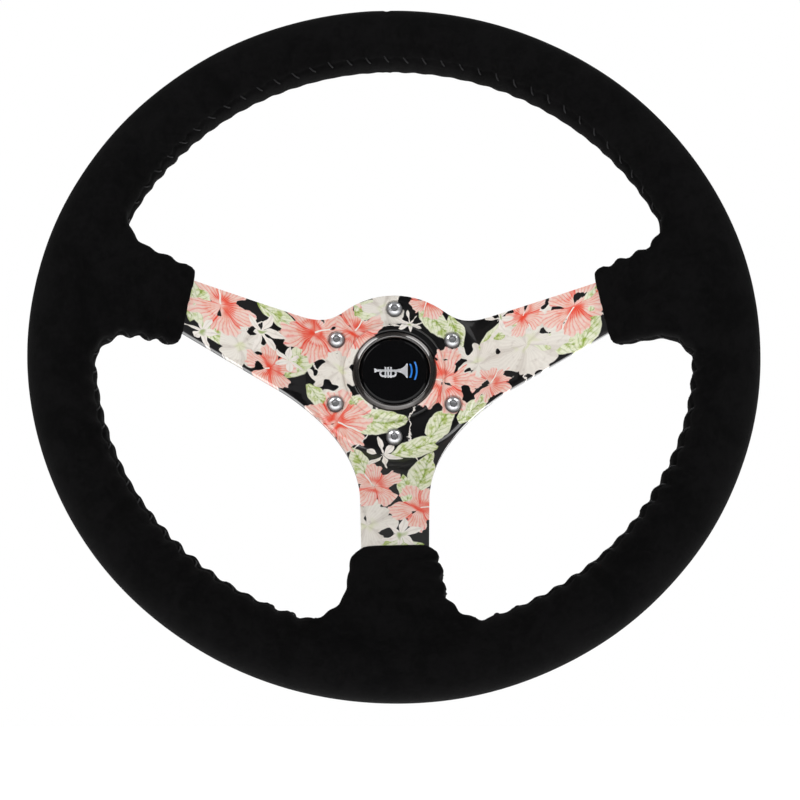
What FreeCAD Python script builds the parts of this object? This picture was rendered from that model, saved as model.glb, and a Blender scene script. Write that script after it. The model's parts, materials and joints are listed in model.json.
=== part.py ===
import FreeCAD, Part
import math
import os
import Sketcher

# Deep-dish three-spoke steering wheel with a horn button and the wheel half of a ball-lock
# quick release. Millimetres. Y runs along the steering axis, away from the driver; Z is up.
# The origin is on the axis at the rear mouth of the coupling bore.

doc = FreeCAD.newDocument("SteeringWheel")
sheet = doc.addObject("Spreadsheet::Sheet", "Sizes")


class Size:
    """A length, angle or count that knows its number and its formula in the sheet's names."""

    def __init__(self, value, text):
        self.value = value
        self.text = text

    def join(self, other, sign, value, swap=False):
        text = other.text if isinstance(other, Size) else repr(float(other))
        pair = (text, self.text) if swap else (self.text, text)
        return Size(value, f"({pair[0]} {sign} {pair[1]})")

    def __add__(self, other):
        return self.join(other, "+", self.value + number(other))

    def __radd__(self, other):
        return self.join(other, "+", number(other) + self.value, True)

    def __sub__(self, other):
        return self.join(other, "-", self.value - number(other))

    def __rsub__(self, other):
        return self.join(other, "-", number(other) - self.value, True)

    def __mul__(self, other):
        return self.join(other, "*", self.value * number(other))

    def __rmul__(self, other):
        return self.join(other, "*", number(other) * self.value, True)

    def __truediv__(self, other):
        return self.join(other, "/", self.value / number(other))

    def __neg__(self):
        return 0 - self


def number(item):
    return item.value if isinstance(item, Size) else float(item)


def cosine(angle):
    return Size(math.cos(math.radians(angle.value)), f"cos({angle.text} * 1deg)")


def sine(angle):
    return Size(math.sin(math.radians(angle.value)), f"sin({angle.text} * 1deg)")


def tangent(angle):
    return Size(math.tan(math.radians(angle.value)), f"tan({angle.text} * 1deg)")


def size(alias, value, note):
    """One row of the sheet: the name, the number and what it measures."""
    size.row += 1
    sheet.set(f"A{size.row}", alias)
    sheet.set(f"B{size.row}", str(value))
    sheet.set(f"C{size.row}", note)
    sheet.setAlias(f"B{size.row}", alias)
    return Size(float(value), f"Sizes.{alias}")


size.row = 0

# Rim and dish
rimRadius = size("rimRadius", 159.5, "axis to the centre of the grip tube")
gripRadius = size("gripRadius", 15.5, "outside radius of the covered grip")
coverThickness = size("coverThickness", 1.3, "suede")
dish = size("dish", 76.2, "centre plane of the rim to the rear face of the spoke plate")
coreWidth = size("coreWidth", 16, "radial width of the flat ring inside the rim")
coreThickness = size("coreThickness", 5, "thickness of the flat ring inside the rim")
threadRadius = size("threadRadius", 0.7, "lacing thread laid in the cover")
threadGap = size("threadGap", 0.05, "thread to the sides of its groove")

# Spoke plate
plateThickness = size("plateThickness", 5, "pressed plate")
discRadius = size("discRadius", 45, "flat centre disc")
bendOffset = size("bendOffset", 1.5, "disc edge to where the sharp bend to the spokes would be")
spokeSlope = size("spokeSlope", 43, "angle of the spokes to the disc")
bendRadius = size("bendRadius", 8, "inside radius of the two bends")
tabEnd = size("tabEnd", 6.5, "how far a spoke tab runs past the rim's centre line")
upperAzimuth = size("upperAzimuth", 8.5, "upper spokes' rise above the horizontal")
upperTopAngle = size("upperTopAngle", 2, "slant of the upper spokes' top edge")
upperTopRise = size("upperTopRise", 26.1, "height of that edge's line over the axis")
upperLowAngle = size("upperLowAngle", 20.8, "slant of the upper spokes' lower edge")
upperLowDrop = size("upperLowDrop", 37.6, "depth of that edge's line under the axis")
topFillet = size("topFillet", 35, "hollow between disc and upper spoke")
lowFillet = size("lowFillet", 73, "hollow between upper and lower spoke")
lowerTaper = size("lowerTaper", 2.9, "taper of the lower spoke's sides")
lowerHalf = size("lowerHalf", 21.2, "half width of the lower spoke's side lines at the axis")
tabHalf = size("tabHalf", 12.5, "half width of the riveted tabs")
screwCircle = size("screwCircle", 37, "radius of the six-hole pattern")
screwHole = size("screwHole", 2.75, "clearance hole radius in the plate")
sinkRadius = size("sinkRadius", 5.2, "shallow seat under each screw head")
sinkDepth = size("sinkDepth", 1, "depth of that seat")

# Grip arms round the spoke ends
armEnd = size("armEnd", 103.7, "axis to the front edge of an arm's end")
armCover = size("armCover", 4.5, "plate face to the arm's outside")
armHalf = size("armHalf", 19.6, "half width of an arm at its end")
armFlare = size("armFlare", 6.5, "spread of an arm's sides towards the rim, in degrees")
armFillet = size("armFillet", 11, "arm to rim")
armFront = size("armFront", 9.5, "rim centre plane to the arm's front")
armBack = size("armBack", 12.5, "rim centre plane to the arm's back")

# Rivets and screws
rivetRadius = size("rivetRadius", 2.4, "rivet shank")
rivetHead = size("rivetHead", 4.4, "rivet head")
rivetRise = size("rivetRise", 1.9, "height of a rivet head")
rivetSpread = size("rivetSpread", 2.6, "each rivet from its spoke's centre line, in degrees")
screwRadius = size("screwRadius", 2.5, "M5 shank and thread")
screwHeadRadius = size("screwHeadRadius", 4.75, "M5 button head")
screwHeadHeight = size("screwHeadHeight", 2.75, "M5 button head")
screwLength = size("screwLength", 11, "under the head")
socketRadius = size("socketRadius", 1.75, "hex socket, across corners over two")
socketDepth = size("socketDepth", 1.6, "hex socket")

# Horn button
slack = size("slack", 0.05, "fixed pieces that push together, radially")
running = size("running", 0.15, "radial gap round the horn cap")
ringWidth = size("ringWidth", 5, "retaining ring past the bezel")
ringRise = size("ringRise", 2.2, "height of the retaining ring over the plate")
ringRound = size("ringRound", 1.5, "rounding of the retaining ring's outer edge")
bezelRadius = size("bezelRadius", 23, "outside of the horn bezel")
spigotWall = size("spigotWall", 1.95, "ring's spigot in the plate's centre hole")
bezelWidth = size("bezelWidth", 3.65, "bezel's outside to its window")
bezelRise = size("bezelRise", 2.6, "bezel's crest over the plate")
hornTravel = size("hornTravel", 1.5, "stroke of the horn cap")
capFace = size("capFace", 1.7, "cap's face over the plate")
flangeWidth = size("flangeWidth", 1.9, "cap's flange behind the bezel's lip")
flangeThickness = size("flangeThickness", 1.2, "that flange")
lipDepth = size("lipDepth", 1, "back of the bezel's lip behind the plate's front")
stemRadius = size("stemRadius", 3, "cap's stem")
contactRoom = size("contactRoom", 2.7, "spring's inside to the moving contact")
contactThickness = size("contactThickness", 0.6, "both contacts")
hornSpringInset = size("hornSpringInset", 4.15, "bezel's window to the spring's centre line")
hornWire = size("hornWire", 0.5, "radius of its wire")
hornTurns = size("hornTurns", 4, "turns")
hornDepth = size("hornDepth", 14, "plate's front to the back of the horn unit")
baseThickness = size("baseThickness", 2.5, "insulating base")
housingWall = size("housingWall", 2.9, "horn housing")
clipWire = size("clipWire", 0.55, "radius of the clip's wire")
terminalWidth = size("terminalWidth", 6.3, "blade terminal")
terminalThickness = size("terminalThickness", 0.8, "blade terminal")
terminalLength = size("terminalLength", 6, "blade behind the base")
capWeb = size("capWeb", 2.3, "thickness of the horn cap's face")
lipGap = size("lipGap", 0.02, "cap's flange to the bezel's lip at rest")
hornPocket = size("hornPocket", 1.8, "horn spring's wire to the cap's flange")
stemShoulder = size("stemShoulder", 1, "step on the stem in front of the contact")
stemTip = size("stemTip", 0.4, "stem past the moving contact")
contactDrop = size("contactDrop", 2, "cap's flange to the moving contact")
ledgeDepth = size("ledgeDepth", 0.5, "housing's ledge behind the base")
ledgeReach = size("ledgeReach", 1, "that ledge, inwards")
baseStep = size("baseStep", 0.9, "housing's step round the base")
bezelRound = size("bezelRound", 2.2, "rounding of the bezel's outer edge")
arcWidth = size("arcWidth", 0.9, "width of a sound wave")
symbolUnit = size("symbolUnit", 1, "trumpet's length over 18.2")
symbolThickness = size("symbolThickness", 0.3, "symbol on the horn cap")

# Quick release coupling
springRoom = size("springRoom", 10.5, "collar's front at rest to the neck")
flangeInset = size("flangeInset", 1.5, "coupling flange inside the disc's edge")
flangeDepth = size("flangeDepth", 7, "coupling flange")
neckWall = size("neckWall", 3.5, "wall round the horn cavity")
neckFloor = size("neckFloor", 3.1, "floor of the horn cavity")
cavityGap = size("cavityGap", 0.4, "horn unit to the cavity's floor")
boreRadius = size("boreRadius", 16, "pilot bore for the column's boss")
guideLength = size("guideLength", 7, "pilot land inside the bore's mouth")
greaseWidth = size("greaseWidth", 1, "grease groove behind that land")
greaseDepth = size("greaseDepth", 0.5, "grease groove")
barrelWall = size("barrelWall", 6.5, "barrel")
sleeveStep = size("sleeveStep", 2, "barrel's outside to its spigot in the neck")
ballRadius = size("ballRadius", 4, "lock ball")
ballRoom = size("ballRoom", 0.79, "axial room for a released ball, over its radius")
ballCount = size("ballCount", 6, "lock balls")
ballGap = size("ballGap", 0.05, "ball in its pocket, radially")
seatShare = size("seatShare", 0.85, "mouth of a ball pocket in the bore, over the ball")
seatDepth = size("seatDepth", 0.54, "ball centre to that mouth's step, over the ball")
insertStep = size("insertStep", 2.5, "hex drive insert past the bore")
insertLength = size("insertLength", 8, "hex drive insert")
insertGap = size("insertGap", 0.9, "balls to the insert")
hexRadius = size("hexRadius", 16, "hexagonal socket, across corners over two")
insulatorThickness = size("insulatorThickness", 2.5, "contact insulator")
pinRadius = size("pinRadius", 1.2, "horn contact pin")
pinPlace = size("pinPlace", 7, "axis to a contact pin")
pinReach = size("pinReach", 2.6, "pin past the insulator, each side")
collarTravel = size("collarTravel", 6, "pull of the release collar")
collarGap = size("collarGap", 0.06, "collar on the barrel, radially")
collarWall = size("collarWall", 7.5, "barrel to the collar's outside")
collarBrim = size("collarBrim", 2, "finger flange past the collar's outside")
pocketDepth = size("pocketDepth", 3.5, "spring pocket in the collar")
landLength = size("landLength", 4.5, "ball plane to the spring pocket")
lipLength = size("lipLength", 1.5, "rear lip of the collar")
coilGap = size("coilGap", 2.25, "barrel to the centre line of the collar spring")
coilWire = size("coilWire", 0.9, "radius of its wire")
coilTurns = size("coilTurns", 5, "turns")
snapThickness = size("snapThickness", 1.1, "snap ring")
snapWidth = size("snapWidth", 2.85, "radial width of the snap ring")
snapDepth = size("snapDepth", 1.2, "depth of its groove")
snapStart = size("snapStart", 1.05, "rear mouth to the snap ring's groove")
snapSlack = size("snapSlack", 0.1, "snap ring in its groove, and to the collar")
pocketRoom = size("pocketRoom", 1.3, "collar spring's wire to its pocket's wall")
brimThickness = size("brimThickness", 2.6, "finger flange")
brimSlope = size("brimSlope", 1.6, "length of the slope from that flange to the collar")
gripGrooves = size("gripGrooves", 30, "grooves round the collar")
grooveRadius = size("grooveRadius", 1.1, "cutter for the collar's grooves")
edgeBreak = size("edgeBreak", 0.5, "small chamfers")
overrun = size("overrun", 1, "cutting tools past the face they cut")

# Sizes and planes that follow from the others
bendStart = discRadius + bendOffset
flangeRadius = discRadius - flangeInset
ringRadius = bezelRadius + ringWidth
plateBore = bezelRadius + slack + spigotWall
windowRadius = bezelRadius - bezelWidth
hornSpringRadius = windowRadius - hornSpringInset
contactRadius = hornSpringRadius - hornWire - contactRoom
postRadius = contactRadius * 0.75
postHole = contactRadius * 0.38
barrelRadius = boreRadius + barrelWall
insertRadius = boreRadius + insertStep
ballCentre = barrelRadius - ballRadius
ballRelease = 2 * ballRadius - barrelWall
sleeveRadius = barrelRadius - sleeveStep
collarRear = snapStart + snapThickness + 2 * snapSlack
ballPlane = collarRear + lipLength + collarTravel + ballRadius * ballRoom
insertStart = ballPlane + ballRadius + insertGap
collarShoulder = ballPlane + landLength
collarStart = collarShoulder + pocketDepth
coilRadius = barrelRadius + coilGap
collarRadius = barrelRadius + collarWall
collarFlange = collarRadius + collarBrim
plateBack = plateThickness - hornDepth - cavityGap - neckFloor - springRoom - collarStart
plateFront = plateBack - plateThickness
rimPlane = plateBack - dish
spokeAzimuths = [upperAzimuth, 180 - upperAzimuth, Size(-90.0, "-90")]


def bind(item, prop, value):
    item.setExpression(prop, value.text)


def corner(sketch, geometry, point, place):
    """Ties one point of a sketch to its two formulas; a plain 0 puts it on the axis."""
    for kind, axis, value in (("DistanceX", -2, place[0]), ("DistanceY", -1, place[1])):
        if isinstance(value, Size):
            index = sketch.addConstraint(Sketcher.Constraint(kind, geometry, point, value.value))
            bind(sketch, f"Constraints[{index}]", value)
        else:
            sketch.addConstraint(Sketcher.Constraint("PointOnObject", geometry, point, axis))


def vector(place):
    return FreeCAD.Vector(number(place[0]), number(place[1]), 0)


def polygon(sketch, places):
    """A closed outline of straight edges."""
    first = sketch.GeometryCount
    count = len(places)
    for index, place in enumerate(places):
        following = places[(index + 1) % count]
        sketch.addGeometry(Part.LineSegment(vector(place), vector(following)), False)
    for index in range(count):
        after = first + (index + 1) % count
        sketch.addConstraint(Sketcher.Constraint("Coincident", first + index, 2, after, 1))
        corner(sketch, first + index, 1, places[index])


def newBody(label):
    item = doc.addObject("PartDesign::Body", label)
    item.Label = label
    return item


def newSketch(body, plane):
    sketch = body.newObject("Sketcher::SketchObject", f"{body.Name}Sketch")
    support = [part for part in body.Origin.OriginFeatures if part.Role == plane][0]
    sketch.AttachmentSupport = [(support, "")]
    sketch.MapMode = "FlatFace"
    return sketch


def turned(label, places, angle=360):
    """A body turned about the steering axis; each place is (radius, Y)."""
    body = newBody(label)
    sketch = newSketch(body, "XY_Plane")
    polygon(sketch, places)
    turn = body.newObject("PartDesign::Revolution", f"{label}Turn")
    turn.Profile = sketch
    turn.ReferenceAxis = (sketch, ["V_Axis"])
    turn.Angle = angle
    return body


def padded(label, draw, start, end, turn=0):
    """A body padded along Y from start to end; draw fills a sketch in (X, Z)."""
    body = newBody(label)
    sketch = newSketch(body, "XZ_Plane")
    rotation = FreeCAD.Rotation(FreeCAD.Vector(0, 0, 1), number(turn))
    sketch.AttachmentOffset = FreeCAD.Placement(FreeCAD.Vector(0, 0, -number(end)), rotation)
    bind(sketch, "AttachmentOffset.Base.z", -end)
    draw(sketch)
    pad = body.newObject("PartDesign::Pad", f"{label}Pad")
    pad.Profile = sketch
    pad.Length = number(end - start)
    bind(pad, "Length", end - start)
    return body


def cylinder(label, radius, start, end, x=0, z=0):
    """A Part cylinder along Y."""
    item = doc.addObject("Part::Cylinder", label)
    item.Label = label
    item.Radius = number(radius)
    item.Height = number(end - start)
    bind(item, "Radius", radius)
    bind(item, "Height", end - start)
    item.Placement.Rotation = FreeCAD.Rotation(FreeCAD.Vector(1, 0, 0), -90)
    for axis, value in (("x", x), ("y", start), ("z", z)):
        if isinstance(value, Size):
            bind(item, f"Placement.Base.{axis}", value)
    return item


def box(label, low, high):
    """A Part box between two corners."""
    item = doc.addObject("Part::Box", label)
    item.Label = label
    for prop, axis, index in (("Length", "x", 0), ("Width", "y", 1), ("Height", "z", 2)):
        bind(item, prop, high[index] - low[index])
        bind(item, f"Placement.Base.{axis}", low[index])
    return item


def combine(kind, label, items):
    item = doc.addObject(kind, label)
    item.Label = label
    if kind in ("Part::Cut", "Part::Common"):
        item.Base = items[0]
        item.Tool = items[1]
    elif kind == "Part::Compound":
        item.Links = items
    else:
        item.Shapes = items
    return item


def cut(label, base, tools):
    """The base less its tools, which are joined first."""
    tool = tools[0]
    if len(tools) > 1:
        tool = combine("Part::Compound", f"{label}Tools", tools)
    return combine("Part::Cut", label, [base, tool])


def around(label, source, radius, azimuths):
    """Copies of a piece that is modelled on the Y axis, set out round that axis."""
    copies = []
    for index, azimuth in enumerate(azimuths):
        link = doc.addObject("App::Link", f"{label}Copy{index}")
        link.LinkedObject = source
        bind(link, "Placement.Base.x", radius * cosine(azimuth))
        bind(link, "Placement.Base.z", radius * sine(azimuth))
        copies.append(link)
    return combine("Part::Compound", label, copies)


def evenly(count, first):
    angles = [first + 360 / count * index for index in range(count)]
    return [Size(angle, str(angle)) for angle in angles]


def roundEdges(label, base, radius, choose):
    """Rounds the edges of a finished solid that choose accepts."""
    doc.recompute()
    item = doc.addObject("Part::Fillet", label)
    item.Label = label
    item.Base = base
    chosen = [index + 1 for index, edge in enumerate(base.Shape.Edges) if choose(edge)]
    item.Edges = [(index, number(radius), number(radius)) for index in chosen]
    return item


def circle(sketch, radius, x=0, z=0):
    """A round outline."""
    index = sketch.GeometryCount
    sketch.addGeometry(Part.Circle(vector((x, z)), FreeCAD.Vector(0, 0, 1), number(radius)), False)
    datum = sketch.addConstraint(Sketcher.Constraint("Radius", index, number(radius)))
    bind(sketch, f"Constraints[{datum}]", radius)
    corner(sketch, index, 3, (x, z))


def roundCorners(body, name, radius, places):
    """Rounds a padded body's edges that stand along Y at the given (X, Z) places."""
    doc.recompute()
    edges = []
    for index, edge in enumerate(body.Shape.Edges):
        ends = [vertex.Point for vertex in edge.Vertexes]
        for place in places:
            x, z = number(place[0]), number(place[1])
            if len(ends) == 2 and all(math.hypot(end.x - x, end.z - z) < 0.01 for end in ends):
                edges.append(f"Edge{index + 1}")
    before = body.Tip
    fillet = body.newObject("PartDesign::Fillet", name)
    fillet.Base = (before, edges)
    bind(fillet, "Radius", radius)
    fillet.Radius = radius.value


def mirrored(places):
    """Places of the right half, then of the left half in reverse."""
    return places + [(-place[0], place[1]) for place in reversed(places)]


def at(radius, azimuth):
    return (radius * cosine(azimuth), radius * sine(azimuth))


# Spoke plate

def plateBand():
    """The pressed bowl: flat disc, cone and flat outer ring, all of one thickness."""
    flatStart = rimPlane + coreThickness / 2
    reach = (plateFront - flatStart) / tangent(spokeSlope)
    shift = plateThickness * tangent(spokeSlope / 2)
    outer = rimRadius + tabEnd
    band = turned("plateBand", [
        (plateBore, plateFront),
        (bendStart, plateFront),
        (bendStart + reach, flatStart),
        (outer, flatStart),
        (outer, flatStart + plateThickness),
        (bendStart + reach + shift, flatStart + plateThickness),
        (bendStart + shift, plateBack),
        (plateBore, plateBack)])
    outside = [bendStart + shift, bendStart + reach]
    inside = [bendStart, bendStart + reach + shift]
    bends = [("Outside", outside, bendRadius + plateThickness), ("Inside", inside, bendRadius)]
    for name, radii, radius in bends:
        doc.recompute()
        edges = []
        for index, edge in enumerate(band.Shape.Edges):
            round = hasattr(edge.Curve, "Radius")
            if round and any(abs(edge.Curve.Radius - value.value) < 0.01 for value in radii):
                edges.append(f"Edge{index + 1}")
        before = band.Tip
        fillet = band.newObject("PartDesign::Fillet", f"plateBand{name}")
        fillet.Base = (before, edges)
        bind(fillet, "Radius", radius)
        fillet.Radius = radius.value
    return band


def plateOutline():
    """Two upper spokes, one lower spoke and the centre disc, with hollows between them."""
    far = rimRadius + 2 * tabEnd
    lean, topSlope, lowSlope = tangent(upperAzimuth), tangent(upperTopAngle), tangent(upperLowAngle)
    taper = tangent(lowerTaper)
    tabSide = tabHalf / cosine(upperAzimuth)
    topKink = (upperTopRise - tabSide) / (lean - topSlope)
    lowKink = (upperLowDrop - tabSide) / (lowSlope - lean)
    meeting = (lowerHalf - taper * upperLowDrop) / (1 - taper * lowSlope)
    hollow = (meeting, meeting * lowSlope - upperLowDrop)
    half = [
        (topKink, upperTopRise + topKink * topSlope),
        (far, far * lean + tabSide),
        (far, far * lean - tabSide),
        (lowKink, lowKink * lowSlope - upperLowDrop),
        hollow,
        (lowerHalf - taper * far, -far)]
    outline = padded("plateOutline", lambda sketch: polygon(sketch, mirrored(half) + [(0, upperTopRise)]),
                     rimPlane, plateBack)
    roundCorners(outline, "lowHollows", lowFillet, [hollow, (-hollow[0], hollow[1])])
    disc = newSketch(outline, "XZ_Plane")
    disc.AttachmentOffset = FreeCAD.Placement(FreeCAD.Vector(0, 0, -plateBack.value), FreeCAD.Rotation())
    bind(disc, "AttachmentOffset.Base.z", -plateBack)
    circle(disc, discRadius)
    pad = outline.newObject("PartDesign::Pad", "discPad")
    pad.Profile = disc
    pad.Length = number(plateBack - rimPlane)
    bind(pad, "Length", plateBack - rimPlane)
    doc.recompute()
    # where the disc's edge meets the upper spokes' top edges
    slant = math.radians(upperTopAngle.value)
    height = upperTopRise.value * math.cos(slant)
    along = math.sqrt(discRadius.value ** 2 - height ** 2)
    x = along * math.cos(slant) - height * math.sin(slant)
    z = along * math.sin(slant) + height * math.cos(slant)
    roundCorners(outline, "topHollows", topFillet, [(x, z), (-x, z)])
    return outline


def spokePlate():
    solid = combine("Part::Common", "plateBlank", [plateBand(), plateOutline()])
    tools = []
    for index, azimuth in enumerate(evenly(6, 30)):
        x, z = at(screwCircle, azimuth)
        front = plateFront - overrun
        tools.append(cylinder(f"plateHole{index}", screwHole, front, plateBack + overrun, x, z))
        tools.append(cylinder(f"screwSink{index}", sinkRadius, front, plateFront + sinkDepth, x, z))
    for index, azimuth in enumerate(rivetAzimuths()):
        x, z = at(rimRadius, azimuth)
        front = rimPlane + coreThickness / 2 - overrun
        back = front + plateThickness + 2 * overrun
        tools.append(cylinder(f"tabHole{index}", rivetRadius, front, back, x, z))
    return cut("spoke_plate", solid, tools)


def rivetAzimuths():
    azimuths = []
    for azimuth in spokeAzimuths:
        azimuths += [azimuth - rivetSpread, azimuth + rivetSpread]
    return azimuths


def spokeRivets():
    """Two rivets a spoke, through the flat ring and the tab behind it."""
    low = rimPlane - coreThickness / 2
    high = rimPlane + coreThickness / 2 + plateThickness
    rivet = turned("rivet", [
        (0, low - rivetRise),
        (rivetHead * 0.6, low - rivetRise),
        (rivetHead, low),
        (rivetRadius, low),
        (rivetRadius, high),
        (rivetHead, high),
        (rivetHead * 0.6, high + rivetRise),
        (0, high + rivetRise)])
    return around("spoke_rivets", rivet, rimRadius, rivetAzimuths())


def hubScrews():
    """Six button-head screws with hex sockets."""
    seat = plateFront + sinkDepth
    face = seat - screwHeadHeight
    screw = turned("screwBlank", [
        (0, face),
        (screwHeadRadius * 0.5, face),
        (screwHeadRadius * 0.82, face + screwHeadHeight * 0.28),
        (screwHeadRadius, face + screwHeadHeight * 0.75),
        (screwHeadRadius, seat),
        (screwRadius, seat),
        (screwRadius, seat + screwLength - edgeBreak),
        (screwRadius - edgeBreak, seat + screwLength),
        (0, seat + screwLength)])
    socket = doc.addObject("Part::Prism", "hexSocket")
    socket.Polygon = 6
    bind(socket, "Circumradius", socketRadius)
    bind(socket, "Height", socketDepth + overrun)
    socket.Placement.Rotation = FreeCAD.Rotation(FreeCAD.Vector(1, 0, 0), -90)
    bind(socket, "Placement.Base.y", face - overrun)
    return around("hub_screws", cut("screw", screw, [socket]), screwCircle, evenly(6, 30))


# Rim and grip

def rimCore():
    """Flat ring inside the grip, drilled for the rivets."""
    low = rimPlane - coreThickness / 2
    high = rimPlane + coreThickness / 2
    ring = turned("coreBlank", [
        (rimRadius - coreWidth / 2, low),
        (rimRadius + coreWidth / 2, low),
        (rimRadius + coreWidth / 2, high),
        (rimRadius - coreWidth / 2, high)])
    tools = []
    for index, azimuth in enumerate(rivetAzimuths()):
        x, z = at(rimRadius, azimuth)
        tools.append(cylinder(f"coreHole{index}", rivetRadius, low - overrun, high + overrun, x, z))
    return cut("rim_core", ring, tools)


def torus(label, major, minor, y, sweep=360, rotation=None, x=0, z=0):
    item = doc.addObject("Part::Torus", label)
    item.Label = label
    bind(item, "Radius1", major)
    bind(item, "Radius2", minor)
    item.Angle3 = sweep
    item.Placement.Rotation = rotation or FreeCAD.Rotation(FreeCAD.Vector(1, 0, 0), 90)
    for axis, value in (("x", x), ("y", y), ("z", z)):
        if isinstance(value, Size):
            bind(item, f"Placement.Base.{axis}", value)
    return item


def armBand(label, inset):
    """Section of an arm, turned: it follows the spoke's slope, then the rim's plane."""
    across, slope = sine(spokeSlope), tangent(spokeSlope)
    cover = armCover - inset
    front = cover / cosine(spokeSlope)
    back = (plateThickness + cover) / cosine(spokeSlope)
    nose = armEnd + inset * (cosine(spokeSlope) + across)
    noseY = plateFront - front - (nose - bendStart) * slope
    tail = nose + (2 * cover + plateThickness) * across
    tailY = plateFront + back - (tail - bendStart) * slope
    low = rimPlane - armFront + inset
    high = rimPlane + armBack - inset
    inner = rimRadius - gripRadius / 2
    return turned(label, [
        (nose, noseY),
        (bendStart + (plateFront - front - low) / slope, low),
        (inner, low),
        (inner, high),
        (bendStart + (plateFront + back - high) / slope, high),
        (tail, tailY)])


def armPlan(label, inset, azimuth):
    """Outline of an arm, widening towards the rim and hollowed into it."""
    start = armEnd - plateThickness
    neck = rimRadius - gripRadius + 2 * coverThickness + inset
    spread = tangent(armFlare)
    side = armHalf - inset + (neck - armEnd) * spread
    shoulder = side + armFillet * 2
    half = [
        (start, armHalf - inset - (armEnd - start) * spread),
        (neck, side),
        (neck - armFillet * 0.45, shoulder),
        (rimRadius, shoulder)]
    places = half + [(place[0], -place[1]) for place in reversed(half)]
    low = rimPlane - armFront * 2
    plan = padded(label, lambda sketch: polygon(sketch, places), low, plateFront, azimuth)
    turn = math.radians(azimuth.value)
    corners = []
    for w in (side.value, -side.value):
        u = neck.value
        corners.append((u * math.cos(turn) - w * math.sin(turn), u * math.sin(turn) + w * math.cos(turn)))
    roundCorners(plan, f"{label}Hollows", armFillet, corners)
    return plan


def gripShape(label, inset):
    """Tube of the rim with its three arms, inset from the outside of the cover."""
    shapes = [torus(f"{label}Tube", rimRadius, gripRadius - inset, rimPlane)]
    band = armBand(f"{label}Band", inset)
    for index, azimuth in enumerate(spokeAzimuths):
        plan = armPlan(f"{label}Plan{index}", inset, azimuth)
        shapes.append(combine("Part::Common", f"{label}Arm{index}", [band, plan]))
    return combine("Part::MultiFuse", label, shapes)


def threadSpans():
    """Where the lacing shows: between neighbouring arms, as start and sweep in degrees."""
    reach = rimRadius.value - gripRadius.value
    clear = math.degrees(math.atan((armHalf.value + armFillet.value * 2.2) / reach))
    marks = sorted(azimuth.value % 360 for azimuth in spokeAzimuths)
    spans = []
    for index, start in enumerate(marks):
        following = marks[(index + 1) % 3] + (360 if index == 2 else 0)
        spans.append((start + clear, following - start - 2 * clear))
    return spans


def rimStitching():
    """Lacing along the inside of the rim, and the cross seam at the top."""
    upright = FreeCAD.Rotation(FreeCAD.Vector(1, 0, 0), 90)
    threads = []
    for index, (start, sweep) in enumerate(threadSpans()):
        turn = upright.multiply(FreeCAD.Rotation(FreeCAD.Vector(0, 0, 1), start))
        threads.append(torus(f"lacing{index}", rimRadius - gripRadius, threadRadius, rimPlane, sweep, turn))
    across = FreeCAD.Rotation(FreeCAD.Vector(0, 1, 0), 90)
    across = across.multiply(FreeCAD.Rotation(FreeCAD.Vector(0, 0, 1), -150))
    threads.append(torus("crossSeam", gripRadius, threadRadius / 2, rimPlane, 300, across, 0, rimRadius))
    return combine("Part::Compound", "rim_stitching", threads)


def gripPieces(plate, core, rivets):
    """Foam round the ring and spoke ends, and the suede over it."""
    foamBlank = gripShape("foamBlank", coverThickness)
    foam = cut("rim_foam", foamBlank, [plate, core, rivets])
    groove = torus("lacingGroove", rimRadius - gripRadius, threadRadius + threadGap, rimPlane)
    across = FreeCAD.Rotation(FreeCAD.Vector(0, 1, 0), 90)
    thin = threadRadius / 2 + threadGap
    seam = torus("seamGroove", gripRadius, thin, rimPlane, 360, across, 0, rimRadius)
    outside = gripShape("coverBlank", Size(0.0, "0"))
    hollow = cut("coverShell", outside, [foamBlank])
    cover = cut("suede_cover", hollow, [plate, groove, seam])
    return [foam, cover]


# Horn button

def hornRing():
    """Raised ring pushed into the plate's bore; it holds the horn unit."""
    bore = bezelRadius + slack
    ring = turned("ringBlank", [
        (bore, plateFront - ringRise + edgeBreak),
        (bore + edgeBreak, plateFront - ringRise),
        (ringRadius, plateFront - ringRise),
        (ringRadius, plateFront),
        (plateBore, plateFront),
        (plateBore, plateBack),
        (bore, plateBack)])
    top = plateFront - ringRise

    def outerEdge(edge):
        curve = edge.Curve
        return hasattr(curve, "Radius") and abs(curve.Radius - ringRadius.value) < 0.01 \
            and abs(curve.Center.y - top.value) < 0.01
    return roundEdges("horn_retaining_ring", ring, ringRound, outerEdge)


def hornBezel():
    lipBack = plateFront + lipDepth
    inner = windowRadius + flangeWidth + slack
    return turned("horn_bezel", [
        (bezelRadius, plateFront - bezelRise * 0.25),
        (bezelRadius - bezelRound * 0.55, plateFront - bezelRise * 0.75),
        (bezelRadius - bezelRound, plateFront - bezelRise),
        (windowRadius + edgeBreak, plateFront - bezelRise),
        (windowRadius, plateFront - bezelRise * 0.8),
        (windowRadius, lipBack),
        (inner, lipBack),
        (inner, plateBack),
        (bezelRadius, plateBack)])


def hornCap():
    """Glossy disc with a flange behind the bezel's lip and a stem for the moving contact."""
    face = plateFront - capFace
    flangeTop = plateFront + lipDepth + lipGap
    radius = windowRadius - running
    flange = windowRadius + flangeWidth - running
    hollow = hornSpringRadius + hornWire + hornPocket
    under = face + capWeb
    stemEnd = contactTop() + contactThickness + stemTip
    return turned("horn_cap", [
        (0, face),
        (radius - edgeBreak, face),
        (radius, face + edgeBreak),
        (radius, flangeTop),
        (flange, flangeTop),
        (flange, flangeTop + flangeThickness),
        (hollow, flangeTop + flangeThickness),
        (hollow, under),
        (stemRadius + stemShoulder, under),
        (stemRadius + stemShoulder, contactTop()),
        (stemRadius, contactTop()),
        (stemRadius, stemEnd),
        (0, stemEnd)])


def contactTop():
    """Front of the moving contact at rest."""
    return plateFront + lipDepth + flangeThickness + contactDrop


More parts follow.
